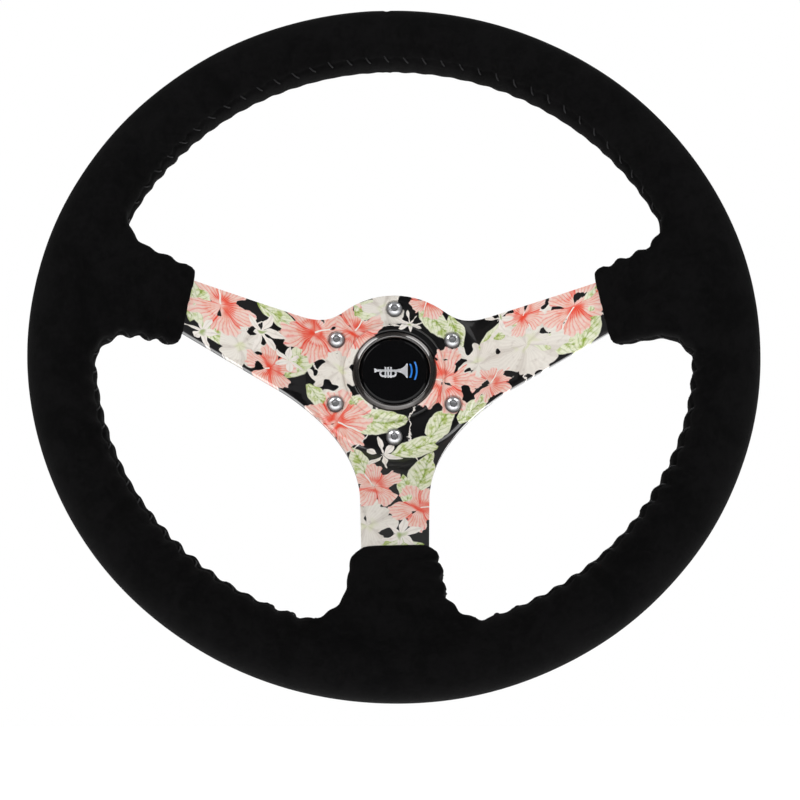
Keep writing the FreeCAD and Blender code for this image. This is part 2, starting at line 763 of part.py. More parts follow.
def hornSymbol():
    """A trumpet, raised on the cap's face: mouthpiece, tube, bell, valve loop and three valves."""
    back = plateFront - capFace
    front = back - symbolThickness

    def outline(sketch):
        upper = [(-11, 1.1), (-10.4, 1.1), (-9.6, 0.6), (1, 0.6), (3, 0.95), (4.6, 1.7), (5.8, 2.8),
                 (6.6, 4.1), (7.2, 4.1)]
        lower = [(x, -z) for x, z in reversed(upper)]
        polygon(sketch, [(symbolUnit * x, symbolUnit * z) for x, z in upper + lower])

    pieces = [padded("trumpetTube", outline, front, back)]
    ends = [-6.2, -0.8]
    loops = []
    for name, reach, spare in (("loopOuter", 2.1, 0), ("loopInner", 1.1, overrun)):
        low = symbolUnit * (-1.6 - reach)
        high = symbolUnit * (-1.6 + reach)
        rounds = [cylinder(f"{name}End{index}", symbolUnit * reach, front - spare, back + spare,
                           symbolUnit * x, symbolUnit * -1.6) for index, x in enumerate(ends)]
        middle = box(f"{name}Middle", (symbolUnit * ends[0], front - spare, low),
                     (symbolUnit * ends[1], back + spare, high))
        loops.append(combine("Part::MultiFuse", name, rounds + [middle]))
    pieces.append(cut("valveLoop", loops[0], [loops[1]]))
    for index, x in enumerate((-5.4, -3.9, -2.4)):
        pieces.append(box(f"valve{index}", (symbolUnit * x, front, symbolUnit * -4.1),
                          (symbolUnit * (x + 0.9), back, symbolUnit * 2)))
    return combine("Part::MultiFuse", "horn_symbol", pieces)


def soundArcs():
    """Two sound waves beside the trumpet."""
    back = plateFront - capFace
    waves = []
    front = back - symbolThickness
    for index, share in enumerate((0.62, 0.8)):
        radius = hornSpringRadius * share
        outer = cylinder(f"waveOuter{index}", radius + arcWidth / 2, front, back)
        inner = cylinder(f"waveInner{index}", radius - arcWidth / 2, front - overrun, back + overrun)
        wave = cut(f"waveRing{index}", outer, [inner])
        reach = radius * 0.42
        gate = box(f"waveGate{index}",
                   (radius * 0.83, front - overrun, -reach),
                   (radius + arcWidth, back + overrun, reach))
        waves.append(combine("Part::Common", f"wave{index}", [wave, gate]))
    return combine("Part::Compound", "sound_arcs", waves)


def hornHousing():
    """Cup behind the bezel, grooved for the clip, with a step and a ledge that hold the base."""
    back = plateFront + hornDepth
    outer = bezelRadius - 2 * slack
    inner = outer - housingWall
    spigot = windowRadius + flangeWidth + slack
    clipEnd = plateBack + clipWire * 2 + 2 * slack
    ledge = back - ledgeDepth
    return turned("horn_housing", [
        (inner, plateBack - overrun),
        (spigot, plateBack - overrun),
        (spigot, plateBack),
        (outer - clipWire, plateBack),
        (outer - clipWire, clipEnd),
        (outer, clipEnd),
        (outer, back),
        (inner - ledgeReach, back),
        (inner - ledgeReach, ledge),
        (inner + baseStep, ledge),
        (inner + baseStep, baseFront()),
        (inner, baseFront())])


def baseFront():
    return plateFront + hornDepth - ledgeDepth - baseThickness


def fixedContactTop():
    return contactTop() + contactThickness + hornTravel + slack


def terminalPlaces():
    """Blade terminals: one under the fixed contact, one under the spring."""
    post = (postRadius + postHole) / 2
    return [(post, fixedContactTop() + contactThickness), (-hornSpringRadius, baseFront())]


def hornTerminals():
    back = plateFront + hornDepth - ledgeDepth
    blades = []
    for index, (z, top) in enumerate(terminalPlaces()):
        blades.append(box(f"blade{index}",
                          (-terminalWidth / 2, top, z - terminalThickness / 2),
                          (terminalWidth / 2, back + terminalLength, z + terminalThickness / 2)))
    return combine("Part::Compound", "horn_terminals", blades)


def hornBase(terminals):
    """Insulating disc with a hollow post that carries the fixed contact."""
    back = plateFront + hornDepth - ledgeDepth
    top = fixedContactTop() + contactThickness
    rim = bezelRadius - 3 * slack - housingWall + baseStep
    base = turned("baseBlank", [
        (0, baseFront()),
        (postHole, baseFront()),
        (postHole, top),
        (postRadius, top),
        (postRadius, baseFront()),
        (rim, baseFront()),
        (rim, back),
        (0, back)])
    return cut("horn_base", base, [terminals])


def contactRing(label, inner, outer, front):
    return turned(label, [
        (inner, front),
        (outer, front),
        (outer, front + contactThickness),
        (inner, front + contactThickness)])


def spring(label, radius, wire, turns, start, end):
    """A compression spring along Y: a round wire swept along a helix."""
    helix = doc.addObject("Part::Helix", f"{label}Path")
    rise = end - start - 2 * wire
    bind(helix, "Radius", radius)
    bind(helix, "Pitch", rise / turns)
    bind(helix, "Height", rise)
    helix.SegmentLength = 1
    section = doc.addObject("Part::Circle", f"{label}Wire")
    bind(section, "Radius", wire)
    section.Placement.Rotation = FreeCAD.Rotation(FreeCAD.Vector(1, 0, 0), 90)
    bind(section, "Placement.Base.x", radius)
    sweep = doc.addObject("Part::Sweep", label)
    sweep.Label = label
    sweep.Sections = [section]
    sweep.Spine = (helix, [f"Edge{index + 1}" for index in range(int(turns.value))])
    sweep.Solid = True
    sweep.Frenet = True
    sweep.Placement.Rotation = FreeCAD.Rotation(FreeCAD.Vector(1, 0, 0), -90)
    bind(sweep, "Placement.Base.y", start + wire)
    return sweep


def hornClip():
    """Wire clip behind the retaining ring that keeps the horn unit in."""
    turn = FreeCAD.Rotation(FreeCAD.Vector(1, 0, 0), 90)
    turn = turn.multiply(FreeCAD.Rotation(FreeCAD.Vector(0, 0, 1), 100))
    outer = bezelRadius - 2 * slack
    return torus("horn_clip", outer, clipWire, plateBack + clipWire + slack, 340, turn)


# Quick release coupling

def couplingFlange():
    """Screwed flange with the neck that houses the horn unit."""
    cavity = plateFront + hornDepth + cavityGap
    neck = plateBore + neckWall
    blank = turned("flangeBlank", [
        (plateBore, plateBack),
        (flangeRadius, plateBack),
        (flangeRadius, plateBack + flangeDepth),
        (neck, plateBack + flangeDepth),
        (neck, cavity + neckFloor),
        (sleeveRadius + slack, cavity + neckFloor),
        (sleeveRadius + slack, cavity),
        (plateBore, cavity)])
    tools = []
    for index, azimuth in enumerate(evenly(6, 30)):
        x, z = at(screwCircle, azimuth)
        back = plateBack + flangeDepth + overrun
        tools.append(cylinder(f"flangeThread{index}", screwRadius, plateBack - overrun, back, x, z))
    return cut("coupling_flange", blank, tools)


def couplingBarrel():
    """Hardened sleeve in the flange's neck: pilot land, ball pockets, grease and snap ring grooves."""
    cavity = plateFront + hornDepth + cavityGap
    neckEnd = cavity + neckFloor
    grooveEnd = -snapStart
    grooveStart = grooveEnd - snapThickness - snapSlack
    blank = turned("barrelBlank", [
        (sleeveRadius, cavity),
        (sleeveRadius, neckEnd),
        (barrelRadius, neckEnd),
        (barrelRadius, grooveStart),
        (barrelRadius - snapDepth, grooveStart),
        (barrelRadius - snapDepth, grooveEnd),
        (barrelRadius, grooveEnd),
        (barrelRadius, -snapStart / 2),
        (barrelRadius - snapStart / 2, 0),
        (boreRadius, 0),
        (boreRadius, -guideLength),
        (boreRadius + greaseDepth, -guideLength),
        (boreRadius + greaseDepth, -guideLength - greaseWidth),
        (boreRadius, -guideLength - greaseWidth),
        (boreRadius, -insertStart),
        (insertRadius, -insertStart),
        (insertRadius, cavity)])
    seat = ballCentre - ballRadius * seatDepth
    throat = boreRadius - 2 * overrun
    bores = [("ballPocket", ballRadius + ballGap, seat), ("ballMouth", ballRadius * seatShare, throat)]
    tools = []
    for index, azimuth in enumerate(evenly(int(ballCount.value), 30)):
        for name, radius, inner in bores:
            hole = doc.addObject("Part::Cylinder", f"{name}{index}")
            bind(hole, "Radius", radius)
            bind(hole, "Height", barrelRadius + overrun - inner)
            turn = FreeCAD.Rotation(FreeCAD.Vector(0, 1, 0), 90 - azimuth.value)
            hole.Placement.Rotation = turn
            bind(hole, "Placement.Base.x", inner * cosine(azimuth))
            bind(hole, "Placement.Base.y", -ballPlane)
            bind(hole, "Placement.Base.z", inner * sine(azimuth))
            tools.append(hole)
    return cut("coupling_barrel", blank, tools)


def hexInsert():
    """Steel insert with the hexagonal socket that takes the torque."""
    start = -insertStart - insertLength
    ring = cylinder("insertBlank", insertRadius, start, -insertStart)
    socket = doc.addObject("Part::Prism", "hexOpening")
    socket.Polygon = 6
    bind(socket, "Circumradius", hexRadius)
    bind(socket, "Height", insertLength + 2 * overrun)
    socket.Placement.Rotation = FreeCAD.Rotation(FreeCAD.Vector(1, 0, 0), -90)
    bind(socket, "Placement.Base.y", start - overrun)
    return cut("hex_insert", ring, [socket])


def contactPins():
    end = -insertStart - insertLength
    start = end - insulatorThickness
    pins = []
    for index, side in enumerate((-1, 1)):
        pins.append(cylinder(f"pin{index}", pinRadius, start - pinReach, end + pinReach, pinPlace * side))
    return combine("Part::Compound", "contact_pins", pins)


def contactInsulator(pins):
    end = -insertStart - insertLength
    blank = cylinder("insulatorBlank", insertRadius, end - insulatorThickness, end)
    return cut("contact_insulator", blank, [pins])


def coneRadius(y):
    """Inside of the collar's ramp: it keeps one gap to a ball over the whole pull."""
    ratio = ballRelease / collarTravel
    steep = Size(math.hypot(1, ratio.value), f"sqrt(1 + {ratio.text} * {ratio.text})")
    return ballCentre + (ballRadius + collarGap) * steep + (y + ballPlane) * ratio


def releaseCollar():
    """Grooved sliding collar: spring pocket, guide land, ball ramp and rear lip."""
    ratio = ballRelease / collarTravel
    land = barrelRadius + collarGap
    pocket = coilRadius + coilWire + pocketRoom
    brimEnd = brimThickness - collarStart
    slopeEnd = brimEnd + brimSlope
    rear = -collarRear
    lip = rear - lipLength
    rampStart = -ballPlane - (coneRadius(-ballPlane) - land) / ratio
    collar = turned("release_collar", [
        (pocket, -collarStart),
        (collarFlange - edgeBreak, -collarStart),
        (collarFlange, edgeBreak - collarStart),
        (collarFlange, brimEnd),
        (collarRadius, slopeEnd),
        (collarRadius, rear - edgeBreak),
        (collarRadius - edgeBreak, rear),
        (land, rear),
        (land, lip),
        (coneRadius(lip), lip),
        (land, rampStart),
        (land, -collarShoulder),
        (pocket, -collarShoulder)])
    doc.recompute()
    whole = collar.Shape.Volume
    sketch = newSketch(collar, "XZ_Plane")
    sketch.AttachmentOffset = FreeCAD.Placement(FreeCAD.Vector(0, 0, collarStart.value), FreeCAD.Rotation())
    length = overrun - slopeEnd
    bind(sketch, "AttachmentOffset.Base.z", -slopeEnd - overrun)
    circle(sketch, grooveRadius, collarRadius + grooveRadius * 0.35)
    groove = collar.newObject("PartDesign::Pocket", "gripGroove")
    groove.Profile = sketch
    groove.Length = number(length)
    bind(groove, "Length", length)
    doc.recompute()
    if not collar.Shape.Volume < whole - 1:
        groove.Reversed = True
    pattern = collar.newObject("PartDesign::PolarPattern", "gripGrooves")
    pattern.Originals = [groove]
    axis = [part for part in collar.Origin.OriginFeatures if part.Role == "Y_Axis"][0]
    pattern.Axis = (axis, [""])
    pattern.Angle = 360
    pattern.Occurrences = int(gripGrooves.value)
    bind(pattern, "Occurrences", gripGrooves)
    collar.Tip = pattern
    return collar


def snapRing():
    start = -snapStart - snapThickness - snapSlack / 2
    inner = barrelRadius - snapDepth + slack
    return turned("snap_ring", [
        (inner, start),
        (inner + snapWidth, start),
        (inner + snapWidth, start + snapThickness),
        (inner, start + snapThickness)], 335)


def lockBalls():
    balls = []
    for index, azimuth in enumerate(evenly(int(ballCount.value), 30)):
        ball = doc.addObject("Part::Sphere", f"lock_ball_{index + 1}")
        ball.Label = f"lock_ball_{index + 1}"
        bind(ball, "Radius", ballRadius)
        bind(ball, "Placement.Base.x", ballCentre * cosine(azimuth))
        bind(ball, "Placement.Base.y", -ballPlane)
        bind(ball, "Placement.Base.z", ballCentre * sine(azimuth))
        balls.append(ball)
    return balls


def collarSpring():
    neckEnd = plateFront + hornDepth + cavityGap + neckFloor
    start = neckEnd + slack
    return spring("collar_spring", coilRadius, coilWire, coilTurns, start, -collarShoulder - slack)


def hornSpring():
    start = plateFront - capFace + capWeb + slack
    return spring("horn_spring", hornSpringRadius, hornWire, hornTurns, start, baseFront() - slack)


def build():
    plate = spokePlate()
    core = rimCore()
    rivets = spokeRivets()
    terminals = hornTerminals()
    pins = contactPins()
    parts = [plate, core, rivets, terminals, pins]
    parts += gripPieces(plate, core, rivets)
    parts += [rimStitching(), hubScrews(), hornRing(), hornBezel(), hornCap(), hornSymbol(), soundArcs()]
    parts += [hornHousing(), hornBase(terminals), hornSpring(), hornClip()]
    parts.append(contactRing("horn_moving_contact", stemRadius, contactRadius, contactTop()))
    parts.append(contactRing("horn_fixed_contact", postHole, postRadius, fixedContactTop()))
    parts += [couplingFlange(), couplingBarrel(), hexInsert(), contactInsulator(pins)]
    parts += [releaseCollar(), collarSpring(), snapRing()]
    parts += lockBalls()
    return parts


def checked(parts):
    """Stops if anything failed to compute or a piece has no valid solid."""
    doc.recompute()
    for item in doc.Objects:
        if "Invalid" in item.State or "Error" in item.State:
            raise RuntimeError(f"{item.Label} failed: {item.State}")
    for item in parts:
        if item.Shape.isNull() or not item.Shape.isValid() or not item.Shape.Solids:
            raise RuntimeError(f"{item.Label} has no valid solid")
    return parts


def export(parts):
    os.makedirs("parts", exist_ok=True)
    for item in parts:
        item.Shape.exportStep(f"parts/{item.Label}.step")
        solids = item.Shape.Solids
        print(item.Label, len(solids), round(sum(solid.Volume for solid in solids), 1))


export(checked(build()))
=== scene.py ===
import json
import math
import bpy
import bmesh
import numpy as np
from mathutils import Matrix, Vector
from mathutils.bvhtree import BVHTree
from mathutils.kdtree import KDTree


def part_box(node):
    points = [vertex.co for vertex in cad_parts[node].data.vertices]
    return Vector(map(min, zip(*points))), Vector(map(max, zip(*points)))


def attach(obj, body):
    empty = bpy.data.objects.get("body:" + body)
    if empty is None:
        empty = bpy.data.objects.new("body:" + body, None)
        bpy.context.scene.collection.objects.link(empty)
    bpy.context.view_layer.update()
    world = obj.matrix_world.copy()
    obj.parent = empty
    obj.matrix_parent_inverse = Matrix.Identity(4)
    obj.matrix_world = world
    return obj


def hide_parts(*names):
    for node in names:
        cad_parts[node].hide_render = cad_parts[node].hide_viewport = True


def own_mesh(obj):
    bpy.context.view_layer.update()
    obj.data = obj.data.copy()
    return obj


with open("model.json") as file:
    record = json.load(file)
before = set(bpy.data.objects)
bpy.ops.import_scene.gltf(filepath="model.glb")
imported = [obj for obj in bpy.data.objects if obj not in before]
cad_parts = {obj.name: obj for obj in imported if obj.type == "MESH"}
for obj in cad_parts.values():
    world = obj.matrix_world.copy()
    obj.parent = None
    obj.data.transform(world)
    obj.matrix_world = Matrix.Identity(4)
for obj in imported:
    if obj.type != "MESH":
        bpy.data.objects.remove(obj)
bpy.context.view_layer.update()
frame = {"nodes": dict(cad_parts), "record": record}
nodes = frame["nodes"]
print("frame loaded:", len(nodes), "nodes")

# planes and radii that every piece works from, in metres
coreLow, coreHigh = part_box("rim_core")
coverLow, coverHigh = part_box("suede_cover")
rimPlane = (coreLow.y + coreHigh.y) / 2
gripRadius = rimPlane - coverLow.y
rimRadius = coverHigh.x - gripRadius
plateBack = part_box("coupling_flange")[0].y
plateThickness = 0.005
plateFront = plateBack - plateThickness
armAzimuths = [8.5, 171.5, 270.0]


class Signal:
    def __init__(self, board, socket):
        self.board = board
        self.socket = socket

    def math(self, operation, *others, clamp=False):
        values = dict(enumerate([self, *others]))
        return self.board.add("ShaderNodeMath", {"operation": operation, "use_clamp": clamp}, values)

    def __add__(self, other):
        return self.math("ADD", other)

    def __sub__(self, other):
        return self.math("SUBTRACT", other)

    def __rsub__(self, other):
        return self.board.add("ShaderNodeMath", {"operation": "SUBTRACT"}, {0: other, 1: self})

    def __mul__(self, other):
        return self.math("MULTIPLY", other)

    def __pow__(self, other):
        return self.math("POWER", other)

    def __lt__(self, other):
        return self.math("LESS_THAN", other)

    def __gt__(self, other):
        return self.math("GREATER_THAN", other)

    def clamped(self):
        return self.math("ADD", 0.0, clamp=True)

    def between(self, low, high):
        # 0 at low, 1 at high, smooth in between
        settings = {"interpolation_type": "SMOOTHSTEP"}
        return self.board.add("ShaderNodeMapRange", settings, {0: self, 1: low, 2: high})


class Board:
    def __init__(self, tree):
        self.tree = tree
        tree.nodes.clear()

    def add(self, kind, settings=None, inputs=None, output=0):
        node = self.tree.nodes.new(kind)
        for key, value in (settings or {}).items():
            setattr(node, key, value)
        for key, value in (inputs or {}).items():
            self.feed(node.inputs[key], value)
        if not node.outputs:
            return node
        return Signal(self, node.outputs[output])

    def feed(self, socket, value):
        if isinstance(value, Signal):
            self.tree.links.new(value.socket, socket)
        elif isinstance(value, (tuple, list)) and socket.type == "RGBA" and len(value) == 3:
            socket.default_value = (*value, 1)
        else:
            socket.default_value = value

    def mix(self, factor, first, second):
        inputs = {0: factor, 6: first, 7: second}
        return self.add("ShaderNodeMix", {"data_type": "RGBA"}, inputs, 2)

    def mixVector(self, factor, first, second):
        inputs = {0: factor, 4: first, 5: second}
        return self.add("ShaderNodeMix", {"data_type": "VECTOR"}, inputs, 1)

    def vector(self, operation, *values, output=0):
        return self.add("ShaderNodeVectorMath", {"operation": operation}, dict(enumerate(values)), output)

    def noise(self, place, scale, detail=2.0, roughness=0.5, distortion=0.0):
        inputs = {"Vector": place, "Scale": scale, "Detail": detail, "Roughness": roughness,
                  "Distortion": distortion}
        return self.add("ShaderNodeTexNoise", None, inputs)

    def place(self):
        # object coordinates in millimetres
        return self.scaled(self.add("ShaderNodeTexCoord", output="Object"), 1000)

    def scaled(self, spot, factor):
        inputs = {0: spot, 3: factor}
        return self.add("ShaderNodeVectorMath", {"operation": "SCALE"}, inputs)


def newMaterial(name, build, **fixed):
    # build returns what varies, keyed by socket; fixed holds what is the same all over
    material = bpy.data.materials.new(name)
    material.use_nodes = True
    board = Board(material.node_tree)
    shader = material.node_tree.nodes.new("ShaderNodeBsdfPrincipled")
    for key, value in fixed.items():
        board.feed(shader.inputs[spelled(key)], value)
    for key, value in build(board).items():
        board.feed(shader.inputs[key], value)
    board.add("ShaderNodeOutputMaterial", None, {"Surface": Signal(board, shader.outputs[0])})
    return material


def spelled(key):
    # coatWeight -> Coat Weight
    words = "".join(f" {letter}" if letter.isupper() else letter for letter in key)
    return words.title().replace("Ior", "IOR")


def bumped(board, height, strength, distance):
    inputs = {"Height": height, "Strength": strength, "Distance": distance}
    return board.add("ShaderNodeBump", None, inputs)


floral = {
    # x, z, radius in millimetres, turn in degrees
    "hibiscus": [(-44, 22, 19, 20), (-22, 24, 17, 60), (-89, 21, 17, 100), (27, -5, 20, 185),
                 (-31, -29, 20, -20), (92, 21, 16, 240), (69, 24, 11, 70), (19, 43, 13, 250),
                 (-10, -68, 14, 130), (12, -82, 15, 10), (-66, -4, 13, 200), (52, -9, 12, 60)],
    "lily": [(-6, -47, 11, 15), (-70, 13, 12, 40), (-57, 3, 9, 0), (8, 29, 8, 70),
             (57, 26, 8, 20), (3, -98, 11, 50), (-98, 6, 10, 30)],
    "cream": [(-30, 1, 17, 10), (70, 9, 21, 40), (46, 4, 15, 90), (-6, 37, 13, 0),
              (-80, 4, 13, 60), (-13, -92, 15, 30), (-9, -9, 16, 200)],
    "leafUnder": [(-14, 37, 14, 15), (23, 29, 15, -50), (-51, 6, 16, 60), (56, 17, 15, 30),
                  (14, -62, 17, 70), (-100, 22, 14, 80), (84, 4, 15, -20), (-17, -57, 15, 110),
                  (101, 24, 13, 60), (-30, 39, 12, 40), (-40, -16, 12, -50),
                  (-3, -106, 17, 8)],
    "leafOver": [(-9, -29, 17, 5), (24, -31, 15, 55), (12, -43, 15, 15), (-21, -19, 10, -10),
                 (34, 24, 11, -70), (-62, 24, 12, -20), (6, -72, 11, 100), (42, -22, 12, 35),
                 (98, 8, 14, 70), (-96, 12, 13, -60)],
    "stem": [(-36, 8, 9, 0), (38, -34, 30, 0), (-49, -15, 40, 0), (95, -10, 26, 0), (0, 60, 34, 0)]}

inks = {"ground": (0.0025, 0.0025, 0.003), "coral": (0.86, 0.045, 0.013), "blush": (0.86, 0.35, 0.245),
        "white": (0.93, 0.88, 0.82), "cream": (0.88, 0.84, 0.77), "shade": (0.56, 0.50, 0.44),
        "leaf": (0.62, 0.70, 0.27), "vein": (0.25, 0.37, 0.04), "pale": (0.84, 0.85, 0.68)}


def nearest(board, flat, places):
    # the local coordinates of whichever flower is closest, and how far out the point is
    spot = None
    for x, z, radius, turn in places:
        inputs = {"Vector": flat, "Location": (x, z, 0), "Rotation": (0, 0, math.radians(turn)),
                  "Scale": (radius, radius, 1)}
        local = board.add("ShaderNodeMapping", {"vector_type": "TEXTURE"}, inputs)
        away = board.vector("LENGTH", local, output="Value")
        if spot is None:
            spot, reach = local, away
        else:
            spot = board.mixVector(away < reach, spot, local)
            reach = reach.math("MINIMUM", away)
    split = board.add("ShaderNodeSeparateXYZ", None, {0: spot})
    across = Signal(board, split.socket.node.outputs[1])
    return split, across, reach


def petals(along, across, count):
    # 0 on a petal's middle, 1 on the line between two petals; and the raw angle
    angle = across.math("ARCTAN2", along)
    share = (angle * (count / math.tau) + 10).math("FRACT")
    return (share - 0.5).math("ABSOLUTE") * 2, angle


def rays(angle, count, shift):
    # stripes that run out from the middle of a flower, from 0 to 1
    return (angle * count + shift).math("SINE") * 0.5 + 0.5


hibiscusLook = {"petals": 5, "notch": 0.34, "ruffles": 23, "ruffleDepth": 0.035, "veins": 37, "veinInk": 0.7,
                "veinFade": 0.45, "hairs": 83, "hairInk": 0.12, "throatInk": 0.95, "throat": (0.05, 0.62),
                "foldInk": 0.6, "glowInk": 2.4, "stamenWidth": 0.024, "stamen": (0.02, 0.72), "edge": 0.03}


def hibiscus(board, flat, under, rough):
    look = hibiscusLook
    along, across, reach = nearest(board, flat, floral["hibiscus"])
    petal, angle = petals(along, across, look["petals"])
    ruffle = (angle * look["ruffles"] + rough * 9).math("SINE") * look["ruffleDepth"]
    edge = 1 - petal ** 3 * look["notch"] + ruffle
    veins = rays(angle, look["veins"], rough * 5) ** 3 * (1 - reach * look["veinFade"])
    hairs = rays(angle, look["hairs"], rough * 8) * look["hairInk"] - look["hairInk"]
    throat = 1 - reach.between(*look["throat"])
    fold = petal.between(0.72, 1.0) * reach.between(0.15, 0.5)
    glow = (rough - 0.5).clamped() * reach.between(0.3, 1.0) * look["glowInk"]
    red = throat * look["throatInk"] + veins * look["veinInk"] + fold * look["foldInk"] + glow + hairs
    tint = board.mix((rough * 1.7 + reach * 0.6 - 0.72).clamped(), inks["blush"], inks["white"])
    colour = board.mix(red.clamped(), tint, inks["coral"])
    low, high = look["stamen"]
    stamen = (across.math("ABSOLUTE") < look["stamenWidth"]) * (along > low) * (along < high)
    colour = board.mix(stamen, colour, inks["white"])
    return board.mix((edge - reach).between(0, look["edge"]), under, colour)


leafLook = {"width": 0.40, "raggedness": 0.08, "ribWidth": 0.05, "ribInk": 0.55, "veins": 26,
            "veinSlope": 1.5, "veinInk": 0.4, "blotchInk": 0.55, "margin": (0.22, 0.36), "marginInk": 0.7,
            "edge": 0.03}


def leaves(board, flat, under, rough, places):
    look = leafLook
    along, across, reach = nearest(board, flat, places)
    side = across.math("ABSOLUTE")
    width = (1 - along * along) * look["width"] + rough * look["raggedness"] - 0.03
    rib = 1 - side.between(0.0, look["ribWidth"])
    veins = ((side * look["veinSlope"] - along) * look["veins"] + rough * 3).math("SINE").between(0.2, 1.0)
    blotch = rough.between(0.42, 0.68)
    dark = rib * look["ribInk"] + veins * look["veinInk"] + blotch * look["blotchInk"] - reach * 0.15
    colour = board.mix(blotch, inks["pale"], inks["leaf"])
    colour = board.mix(dark.clamped(), colour, inks["vein"])
    colour = board.mix(side.between(*look["margin"]) * look["marginInk"], colour, inks["pale"])
    return board.mix((width - side).between(0, look["edge"]), under, colour)


creamLook = {"petals": 5, "notch": 0.25, "ruffles": 9, "ruffleDepth": 0.03, "creaseInk": 0.42,
             "cloudInk": 0.5, "streaks": 41, "streakInk": 0.16, "heart": 0.4, "heartInk": 0.5, "edge": 0.03}


def creamBlooms(board, flat, under, rough):
    look = creamLook
    along, across, reach = nearest(board, flat, floral["cream"])
    petal, angle = petals(along, across, look["petals"])
    edge = 1 - petal ** 4 * look["notch"] + (angle * look["ruffles"]).math("SINE") * look["ruffleDepth"]
    crease = petal.between(0.45, 1.0) * look["creaseInk"] + rough.between(0.52, 0.8) * look["cloudInk"]
    streak = rays(angle, look["streaks"], rough * 6) * look["streakInk"]
    colour = board.mix((crease + streak).clamped(), inks["cream"], inks["shade"])
    heart = 1 - reach.between(0.0, look["heart"])
    colour = board.mix(heart * look["heartInk"], colour, inks["leaf"])
    return board.mix((edge - reach).between(0, look["edge"]), under, colour)


lilyLook = {"petals": 6, "notch": 0.72, "lineWidth": 0.18, "lineInk": 0.35, "cloudInk": 0.3,
            "heart": (0.08, 0.3), "heartInk": 0.8, "edge": 0.04}


def lilies(board, flat, under, rough):
    look = lilyLook
    along, across, reach = nearest(board, flat, floral["lily"])
    petal = petals(along, across, look["petals"])[0]
    edge = 1 - petal * look["notch"]
    line = (1 - petal.between(0.0, look["lineWidth"])) * look["lineInk"]
    cloud = rough.between(0.5, 0.75) * look["cloudInk"]
    colour = board.mix((line + cloud).clamped(), inks["white"], inks["shade"])
    colour = board.mix((1 - reach.between(*look["heart"])) * look["heartInk"], colour, inks["vein"])
    return board.mix((edge - reach).between(0, look["edge"]), under, colour)


stemLook = {"thin": 0.2, "thick": 0.55, "sway": 4, "ink": 0.9}


def stems(board, flat, under, rough):
    # thin arcs, each a piece of a wavering circle
    colour = under
    for x, z, radius, turn in floral["stem"]:
        inputs = {0: flat, 1: (x, z, 0)}
        away = board.add("ShaderNodeVectorMath", {"operation": "DISTANCE"}, inputs, "Value")
        waver = away - radius + rough * stemLook["sway"] - stemLook["sway"] / 2
        line = 1 - waver.math("ABSOLUTE").between(stemLook["thin"], stemLook["thick"])
        colour = board.mix(line * stemLook["ink"], colour, inks["white"])
    return colour


printLook = {"wobble": 0.10, "wobbleReach": 4.5, "cloud": 0.28, "grain": 2.2, "grainInk": 0.55, "peel": 0.9}


def floralPrint(board):
    # laid on the plate from the front, with its outlines drawn slightly uneven
    spot = board.place()
    inputs = {"Vector": spot, "Scale": (1, 0, 1), "Rotation": (-math.pi / 2, 0, 0)}
    straight = board.add("ShaderNodeMapping", None, inputs)
    inputs = {"Vector": straight, "Scale": printLook["wobble"], "Detail": 1.0}
    wobble = board.add("ShaderNodeTexNoise", None, inputs, "Color")
    shift = board.scaled(board.vector("SUBTRACT", wobble, (0.5, 0.5, 0.5)), printLook["wobbleReach"])
    flat = board.vector("ADD", straight, shift)
    rough = board.noise(straight, printLook["cloud"], 3.0, 0.6)
    colour = stems(board, flat, inks["ground"], rough)
    colour = leaves(board, flat, colour, rough, floral["leafUnder"])
    colour = creamBlooms(board, flat, colour, rough)
    colour = leaves(board, flat, colour, rough, floral["leafOver"])
    colour = hibiscus(board, flat, colour, rough)
    colour = lilies(board, flat, colour, rough)
    grain = board.noise(straight, printLook["grain"], 3.0, 0.6)
    speck = (grain - 0.5).math("ABSOLUTE") * printLook["grainInk"]
    colour = board.mix(speck, colour, board.scaled(colour, 0.6))
    peel = board.noise(spot, printLook["peel"], 2.0)
    return {"Base Color": colour, "Roughness": grain * 0.12 + 0.24,
            "Normal": bumped(board, peel, 0.06, 0.0004)}


suedeLook = {"low": (0.0013, 0.0013, 0.0014), "high": (0.0036, 0.0035, 0.0037),
             "tips": (0.0080, 0.0078, 0.0080), "cloud": 0.045, "brushed": 0.22, "fibre": 3.4, "rough": 0.90,
             "relief": 0.00035}


def napped(board):
    # nap brushed two ways, with lighter tips on single fibres
    look = suedeLook
    spot = board.place()
    cloud = board.noise(spot, look["cloud"], 4.0, 0.62, 0.6)
    brushed = board.noise(spot, look["brushed"], 3.0, 0.6, 1.2)
    fibre = board.noise(spot, look["fibre"], 4.0, 0.7)
    nap = (cloud * 0.6 + brushed * 0.4).between(0.38, 0.62)
    colour = board.mix(nap, look["low"], look["high"])
    colour = board.mix(fibre.between(0.52, 0.78) * 0.5, colour, look["tips"])
    height = fibre * 0.7 + brushed * 0.6
    return {"Base Color": colour, "Roughness": nap * 0.06 + look["rough"],
            "Normal": bumped(board, height, 0.55, look["relief"])}


threadLook = {"low": (0.005, 0.005, 0.006), "high": (0.016, 0.016, 0.017), "twist": 1.4, "rough": 0.56}


def waxedThread(board):
    inputs = {"Vector": board.place(), "Scale": threadLook["twist"], "Distortion": 1.0, "Detail": 1.0}
    ply = board.add("ShaderNodeTexWave", {"bands_direction": "DIAGONAL"}, inputs, "Fac")
    colour = board.mix(ply, threadLook["low"], threadLook["high"])
    return {"Base Color": colour, "Roughness": ply * 0.1 + threadLook["rough"],
            "Normal": bumped(board, ply, 0.5, 0.0002)}


